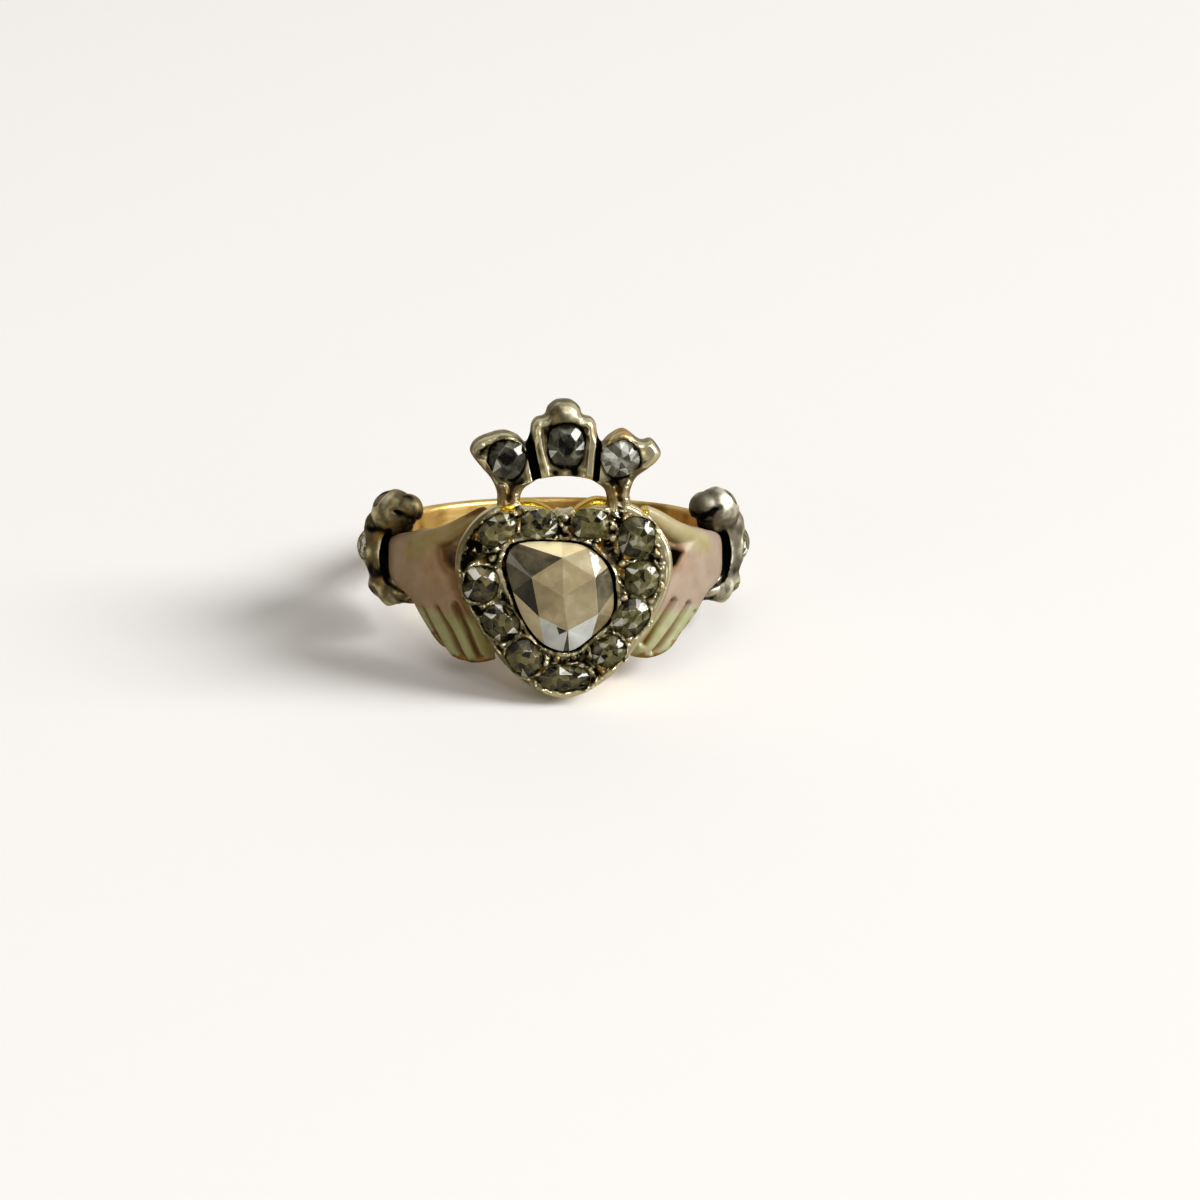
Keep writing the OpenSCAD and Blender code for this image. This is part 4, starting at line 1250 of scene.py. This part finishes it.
# %% Each hand: one skin, then its enamel marks
for side, sign, reach in (("left", -1, 2.0), ("right", 1, 0.0)):
    left = side == "left"
    web = [ball(place(a, z, BAND_R + 0.05), 0.5, 20) for a, z in WEB]
    points, faces = fused([hand_shell(reach), thumb_shell(side), *web], HAND_VOXEL, HAND_PASSES)
    radius, z = np.hypot(points[:, 0], points[:, 1]), points[:, 2]
    spot = np.stack([np.arctan2(points[:, 0], -points[:, 1]) * UNROLLED, z], -1)
    wander = 0.14 * waves(points, 1.0, 41) + 0.06 * waves(points, 0.4, 42)
    outer_side = ramp(radius, BAND_R + 0.3, BAND_R + 0.6)
    under = 1 - ramp(radius, BAND_R + 0.15, BAND_R + 0.4)
    thumb = unrolled(open_curve(THUMBS[side], np.linspace(0.15, 1, 20))[:, :2])
    by_thumb = 1 - ramp(line_distance(spot, thumb) + wander, 0.2, 1.1)

    # Grooves between the fingers; the left thumb is brown towards its tip.
    grooves, sunk = np.zeros(len(points)), np.zeros(len(points))
    width = (0.1 if left else 0.07) + 0.06 * ramp(-z, 2.6, 4.4) + 0.04 * wander
    for line in GROOVES[side]:
        far = line_distance(spot, unrolled(line))
        grooves = np.maximum(grooves, hump(far, 0, width))
        sunk = np.maximum(sunk, 0.3 * hump(far, 0, 0.16))
    if left:
        grooves = np.maximum(grooves, ramp(z + wander, 2.45, 2.8))

    # The hollow under the thumb, sunk, painted black inside as shade, and golden about its edge.
    far = -edge_distance(spot, unrolled(HOLLOWS[side]))
    sunk = np.maximum(sunk, 0.25 * (1 - ramp(far, -0.3, 0.2)))
    hollow = (1 - ramp(far + 0.2 * wander, -0.02, 0.2)) * outer_side
    golden = (1 - ramp(far + 0.3 * wander, 0.15, 0.6)) * outer_side
    points = points - (sunk * outer_side)[:, None] * normals(points, faces)
    # The underside by the band is painted black as shade towards the top.
    hollow = np.maximum(hollow, under * ramp(z, -0.6, 0.2))
    if left:  # dark deep between thumb and palm, and brown along the heart
        # Painted shade deep between thumb and palm.
        deep = 1 - ramp(radius, BAND_R + 0.4, BAND_R + 0.75)
        faint = 0.3 * deep * (1 - ramp(far, 0.4, 0.9))
        hollow = 0.85 * np.maximum(hollow * ramp(-far, -0.1, 0.25), faint)
        # The brown gold along the heart is partly painted as the heart's shadow on the fingers.
        along = ramp(UNROLLED * math.radians(37.5) - spot[:, 0] + 2 * wander, 0, 1.1)
        golden = np.maximum(golden, 0.9 * along * over(z, -2.4, 1.0, 0.8))

    # Fingers, their rubbed tips and lower edge, and how brown the coat is: aged, and on the left
    # also painted warm shade.
    low_edge = unrolled([
        (HAND_ROWS[k][0] + reach * max(0.4 * k - 1, 0), HAND_ROWS[k][1]) for k in (3, 4, 5)
    ])
    edge = 1 - ramp(line_distance(spot, low_edge) + wander, 0.25, 0.75)
    fingers = ramp(wander - z, 2.25, 2.85)
    low = 4.62 if left else 4.55
    tips = np.maximum(ramp(wander - z, low - 0.1, low + 0.45), 0.8 * edge * ramp(-z, 2.7, 3.8))
    aged = ramp(0.5 * waves(points, 2.2, 43) + 1 - np.abs(far - 0.9) / 2.2, 0.2, 1.5)
    aged = (0.55 + 0.45 * aged) * (1 - 0.35 * fingers) if left else 0.2 * aged
    brown_lines = np.maximum(np.maximum(grooves, 0.7 * golden), under)
    piece(f"hand_{side}", points * [sign, 1, 1], faces, enamel, "enamel", f"{side}_hand",
          fingers=fingers, thumb=by_thumb * (1 - fingers), aged=aged, hollow=hollow,
          grooves=np.clip(brown_lines, 0, 1) * (1 - hollow), rubbed=tips)

# %% [markdown]
# ## The small stones
# An old-cut stone has a small table, two rows of facets down to a cushion-shaped
# girdle, and a pavilion below. No two were cut alike, so tables shift and tilt a
# little. A narrow bevel rounds every edge as wear does, and catches small glints.

# %% One small stone


def cut_stone(length, width, crown_h, depth, seed, light=1.0, culet_r=0.35):
    """Points, faces and painted light of a stone about its girdle: a table of 8 panes round
    the culet seen through it, 24 crown facets, girdle and 16 pavilion facets, each corner
    moved a little at random."""
    rng = np.random.default_rng(seed)
    a = (np.arange(16) + 0.5) * np.pi / 8
    k = (np.abs(np.cos(a)) ** CUSHION + np.abs(np.sin(a)) ** CUSHION) ** (-1 / CUSHION)
    girdle = np.stack([length / 2 * k * np.cos(a), width / 2 * k * np.sin(a)], -1)
    girdle *= rng.normal(1, 0.02, (16, 1))
    table = (girdle[0::2] + girdle[1::2]) / 2 * rng.uniform(0.5, 0.6)
    table = table + rng.normal(0, 0.03, (8, 2)) + rng.normal(0, 0.05, 2)
    tilt = rng.normal(0, 0.07, 2)
    culet = table.mean(0) + (table - table.mean(0)) * rng.normal(culet_r, 0.05, (8, 1))
    points = np.vstack([
        np.column_stack([culet, crown_h + 0.012 + culet @ tilt]),
        np.column_stack([table, crown_h + table @ tilt]),
        np.column_stack([girdle, np.full(16, 0.05)]),
        np.column_stack([girdle, np.full(16, -0.05)]),
        [[0, 0, -depth]],
    ])
    i = np.arange(8)
    n = (i + 1) % 8
    a, b, c = 16 + 2 * i, 17 + 2 * i, 16 + (2 * i + 2) % 16
    inner = np.stack([i, 8 + i, 8 + n, n], -1)
    crown = np.vstack([
        np.stack([8 + i, a, b], -1), np.stack([8 + i, b, c], -1), np.stack([8 + i, c, 8 + n], -1)
    ])
    j = np.arange(16)
    g, h = 16 + j, 16 + (j + 1) % 16
    wall = np.stack([g, g + 16, h + 16, h], -1)
    pavilion = np.stack([g + 16, np.full(16, 48), h + 16], -1)
    faces = [i[None], np.vstack([crown, pavilion]), np.vstack([inner, wall])]
    # A large culet is painted black, the table's panes are painted light and dark for the
    # pavilion seen through them, and a few crown facets are painted white as glints.
    tones = np.concatenate([
        [rng.uniform(0, 0.7) if culet_r < 0.4 else 0.0], rng.uniform(0.05, 0.5, 24) * light,
        rng.uniform(0, 0.75, 16), rng.uniform(0.05, 0.6, 8) * light, np.full(16, 0.35),
    ])
    tones[1:25] = np.where(rng.uniform(size=24) < 0.1, 0.9, tones[1:25])
    return points, faces, tones


def set_stone(name, node, points, faces, tones, material, slot, bevel, warm=None):
    """The stone as a flat-faceted piece with softened edges."""
    warm = tones * 0 + 0.08 if warm is None else warm
    made = piece(name, points, faces, material, slot, node, smooth=False, tone=tones, warm=warm)
    edges = made.modifiers.new("worn edges", "BEVEL")
    edges.width, edges.segments, edges.limit_method = bevel * MM, 3, "ANGLE"
    edges.angle_limit = math.radians(4)


def in_plane(points, x, z, depth, turn):
    """Points of a stone turned in the heart's plane and put at their place, with the
    stone's own third axis towards the viewer."""
    c, s = math.cos(math.radians(turn)), math.sin(math.radians(turn))
    u, v, w = points.T
    return np.stack([x + u * c - v * s, -(depth + w), z + u * s + v * c], -1)


# %% Stones of the heart, the crown and the cuffs
HALO_CROWN, HALO_DEPTH, SOFT_EDGE = 0.5, 0.7, 0.05
CUFF_STONE_CROWN, CUFF_STONE_DEPTH = 0.26, 0.35
# How light and how warm each halo stone's painted light is, clockwise from the upper left; those
# at the bottom and on the left are painted darker, as shade.
HALO_LIGHT = [0.72, 0.97, 0.83, 1.05, 1, 1.1, 0.85, 0.52, 0.34, 0.32, 0.3]
HALO_WARM = [0.24, 0.1, 0.12, 0.06, 0.08, 0.06, 0.1, 0.18, 0.24, 0.2, 0.24]
# The crown's stones by name: how light their painted light is, and how large the culet painted
# black looks.
CROWN_LOOKS = {"left": (0.6, 0.8), "centre": (0.75, 0.85), "right": (1.5, 0.3)}
for i, (x, z, length, width, turn) in enumerate(HALO):
    points, faces, tones = cut_stone(
        length, width, HALO_CROWN, HALO_DEPTH, 100 + i, HALO_LIGHT[i]
    )
    points = in_plane(points, x, z, DECK - 0.02, turn)
    set_stone(f"halo_gem_{i + 1}", f"halo_stone_{i + 1}", points, faces, tones,
              small_stone, "small_stone", SOFT_EDGE, tones * 0 + HALO_WARM[i])
for name, (x, z, length, width, turn) in zip(CROWN_LOOKS, CROWN_STONES):
    points, faces, tones = cut_stone(
        length, width, CROWN_SUNK, CROWN_SUNK, 120 + int(x), *CROWN_LOOKS[name]
    )
    points = in_plane(points, x, z, CROWN_FRONT + 0.08, turn)
    set_stone(f"crown_gem_{name}", f"crown_stone_{name}", points, faces, tones,
              grey_stone, "small_stone", SOFT_EDGE)
for side, sign in (("left", -1), ("right", 1)):
    for k, (name, lobe) in enumerate(LOBES.items()):
        middle, axes = lobe_frame(lobe)
        # The left cuff's middle stone is painted much lighter than the others.
        light = 2.4 if (side, name) == ("left", "middle") else 0.8
        points, faces, tones = cut_stone(
            *CUFF_STONE, CUFF_STONE_CROWN, CUFF_STONE_DEPTH, 140 + 5 * sign + k, light
        )
        points = middle + (points + [0, 0, LOBE_R - 0.34]) @ axes.T
        set_stone(f"cuff_gem_{side}_{name}", f"cuff_stone_{side}_{name}",
                  points * [sign, 1, 1], faces, tones, small_stone, "small_stone", SOFT_EDGE)

# %% [markdown]
# ## The rose-cut stone
# The middle stone is an old rose cut: a flat back, and a front of triangles that
# rise to a low point. Six make a star round that point, and eighteen fall from the
# star to the rounded triangle of the girdle. Their light is painted facet by facet:
# beige on the star for the foil behind it, dark on steep facets for the seat they
# show, and pale for the room they reflect.

# %% The rose-cut stone
ROSE_H, ROSE_SUNK = 1.15, 0.4
lift, flat_back = DECK + 0.1, DECK - ROSE_SUNK
FAN = 4  # girdle steps between one corner and the next


def at_depth(corners, depth):
    """Flat corners put at one depth in front of the finger hole."""
    return np.insert(np.atleast_2d(corners), 1, -depth, axis=1)


# The dark splinter is a small facet painted dark as shade.
SPLIT = 4  # the facet below the star that is cut round a dark splinter

i = np.arange(6)
n = (i + 1) % 6
apex, star_ring, girdle, under = 0, 1, 7, 7 + len(rose)
points = np.vstack([
    at_depth(ROSE_APEX, lift + ROSE_H), at_depth(ROSE_STAR, lift + ROSE_H * 0.72),
    at_depth(rose, lift), at_depth(rose, flat_back),
])
star = np.stack([apex + 0 * i, star_ring + i, star_ring + n], -1)
middle = girdle + (2 * i + 1) * FAN
across = np.stack([star_ring + i, middle, star_ring + n], -1)
shares = np.array([[0.6, 0.05, 0.35], [0.64, 0.33, 0.03]])
splinter = len(points) + np.arange(2)
points = np.vstack([points, shares @ points[across[SPLIT]]])
s, m, e = across[SPLIT]
p, q = splinter
around = np.array([[s, m, q], [q, m, p], [p, m, e], [s, p, e], [s, q, p]])
j = np.arange(len(rose))
after_j = (j + 1) % len(rose)
# Each quarter of a sector is a fan from its star corner to the girdle's steps.
corner = star_ring + ((j + FAN) // (2 * FAN)) % 6
fans = np.stack([corner, girdle + j, girdle + after_j], -1)
wall = np.stack([girdle + j, under + j, under + after_j, girdle + after_j], -1)
base = (under + j[::-1])[None]
# Painted light from dark to light by sector, clockwise from the upper left, then how warm it is
# painted.
star_tones, star_warm = [0.46, 0.53, 0.48, 0.54, 0.49, 0.46], [0.6, 0.6, 0.5, 0.55, 0.6, 0.6]
across_tones, across_warm = [0.12, 0.6, 0.16, 0.98, 0.96, 0.02], [0.6, 0.55, 0.4, 0, 0, 0.2]
before_tones, before_warm = [0.14, 0.78, 0.15, 0.25, 0.97, 0.8], [0.5, 0.9, 0.4, 0.7, 0, 0.75]
after_tones, after_warm = [0.97, 0.58, 0.34, 0.95, 0.8, 0.15], [0.9, 0.5, 0.6, 0, 0.75, 0.3]
# The last of the five facets that take the place of the split one is painted dark as shade, the
# splinter.
round_tones, round_warm = [0.96, 0.96, 0.96, 0.96, 0.03], [0, 0, 0, 0, 0.5]


def by_sector(before, after):
    """A value for each girdle step: the first half of a sector, then the second half."""
    return np.repeat(np.stack([before, after], 1).ravel(), FAN)


def by_facet(star_values, across_values, round_values, fan_values, wall_value, base_value):
    """The values of all facets in the order of the faces."""
    return np.concatenate([
        star_values, np.delete(across_values, SPLIT), round_values, fan_values,
        np.full(len(rose), wall_value), [base_value],
    ])


fan_tones, fan_warm = by_sector(before_tones, after_tones), by_sector(before_warm, after_warm)
# The dark line below is painted shade.
fan_tones[8 * FAN] = 0.22  # the dark line that falls from the star's lowest corner
tones = by_facet(star_tones, across_tones, round_tones, fan_tones, 0.1, 0.5)
warm = by_facet(star_warm, across_warm, round_warm, fan_warm, 0.5, 0.5)
faces = [np.vstack([star, np.delete(across, SPLIT, 0), around, fans]), wall, base]
set_stone("rose_cut_gem", "centre_stone", points, faces, tones, rose_stone,
          "rose_cut_stone", 0.03, warm)

# %% [markdown]
# ## Floor and light
# The ring lies on pale paper under soft studio light. One large lamp on the right,
# a little in front, gives the long soft shadow to the left, and weaker lamps and
# two small spots give the stones and the metal their lights. The room is dim, so
# that the metal has something dark to reflect, and grows pale behind the ring,
# where the paper rises.

# %% Floor
FLOOR_R, FLOOR_STEPS = 3.0, 96
paper = bpy.data.materials.new("matt white paper")
paper.use_nodes = True
tree = paper.node_tree
sheet = tree.nodes["Principled BSDF"]
sheet.inputs["Roughness"].default_value = 0.9
sheet.inputs["Specular IOR Level"].default_value = 0.1
# The metal sees a darker table than the camera does, as it did on the day.
seen = add(tree, "LightPath").outputs["Is Camera Ray"]
connect(tree, sheet, Base_Color=mixed(tree, seen, "#A8A190", "#F4F3F3"))
turn = np.linspace(0, 2 * np.pi, FLOOR_STEPS, endpoint=False)
disc = np.stack([FLOOR_R * np.cos(turn), FLOOR_R * np.sin(turn), 0 * turn + cad_box[0].z], -1)
floor_mesh = mesh_of("floor", disc, [np.arange(FLOOR_STEPS)[None]])
floor = bpy.data.objects.new("floor", floor_mesh)
bpy.context.scene.collection.objects.link(floor)
floor.data.materials.append(paper)
floor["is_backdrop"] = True

# %% Light


def lamp(name, side, up, far, size, radiance, tint="#FFFFFF"):
    """A round soft lamp aimed at the ring: side and up are degrees from the camera's
    side of the heart and above the floor, far and size are metres. A disc of radiance L
    and radius r gives pi * L * pi r^2 watts."""
    a, e = math.radians(side), math.radians(up)
    way = Vector((math.sin(a) * math.cos(e), -math.cos(a) * math.cos(e), math.sin(e)))
    made = bpy.data.objects.new(name, bpy.data.lights.new(name, "AREA"))
    bpy.context.scene.collection.objects.link(made)
    made.data.shape, made.data.size = "DISK", size
    made.data.energy = math.pi * radiance * math.pi * (size / 2) ** 2
    made.data.color = colour(tint)[:3]
    made.location = way * far
    made.rotation_euler = way.to_track_quat("Z", "Y").to_euler()


lamp("key right", 80, 33, 2.4, 1.36, 15.5, "#FFFEFB")
lamp("window right", 42, 14, 0.8, 0.5, 0.8, "#FBFCFB")
lamp("ceiling", 5, 80, 0.9, 0.68, 0.8, "#FFFCF4")
lamp("window left", -48, 10, 0.8, 0.4, 1.6, "#FFF8EA")
lamp("spot above", 6, 46, 0.5, 0.06, 14.0)
lamp("spot right", 34, 38, 0.5, 0.05, 18.0, "#EEF4FF")

# %% The room: what the metal reflects, and the plain pale backdrop that the camera sees
world = bpy.data.worlds.new("studio")
bpy.context.scene.world = world
world.use_nodes = True
tree = world.node_tree
tree.nodes.clear()
seen = add(tree, "LightPath").outputs["Is Camera Ray"]
way = add(tree, "SeparateXYZ", {0: add(tree, "TexCoord").outputs["Generated"]})
by_height = ranged(tree, way.outputs["Z"], -0.1, 0.9, 0.07, 0.24)
# The paper rises behind the ring, so upper edges reflect something pale.
rise = ranged(tree, way.outputs["Y"], 0.35, 0.95, 0.0, 0.5)
level = maths(tree, "ADD", by_height, rise)
room = add(tree, "Background", {"Color": colour("#FAF4E8"), "Strength": level}).outputs[0]
plain = add(tree, "Background", {"Color": colour("#FAF8F2"), "Strength": 1.0}).outputs[0]
shown = add(tree, "MixShader", {0: seen, 1: room, 2: plain}).outputs[0]
add(tree, "OutputWorld", {"Surface": shown})
bpy.context.scene.view_settings.view_transform = "Standard"
print("floor at", round(cad_box[0].z, 5))

low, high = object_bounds()
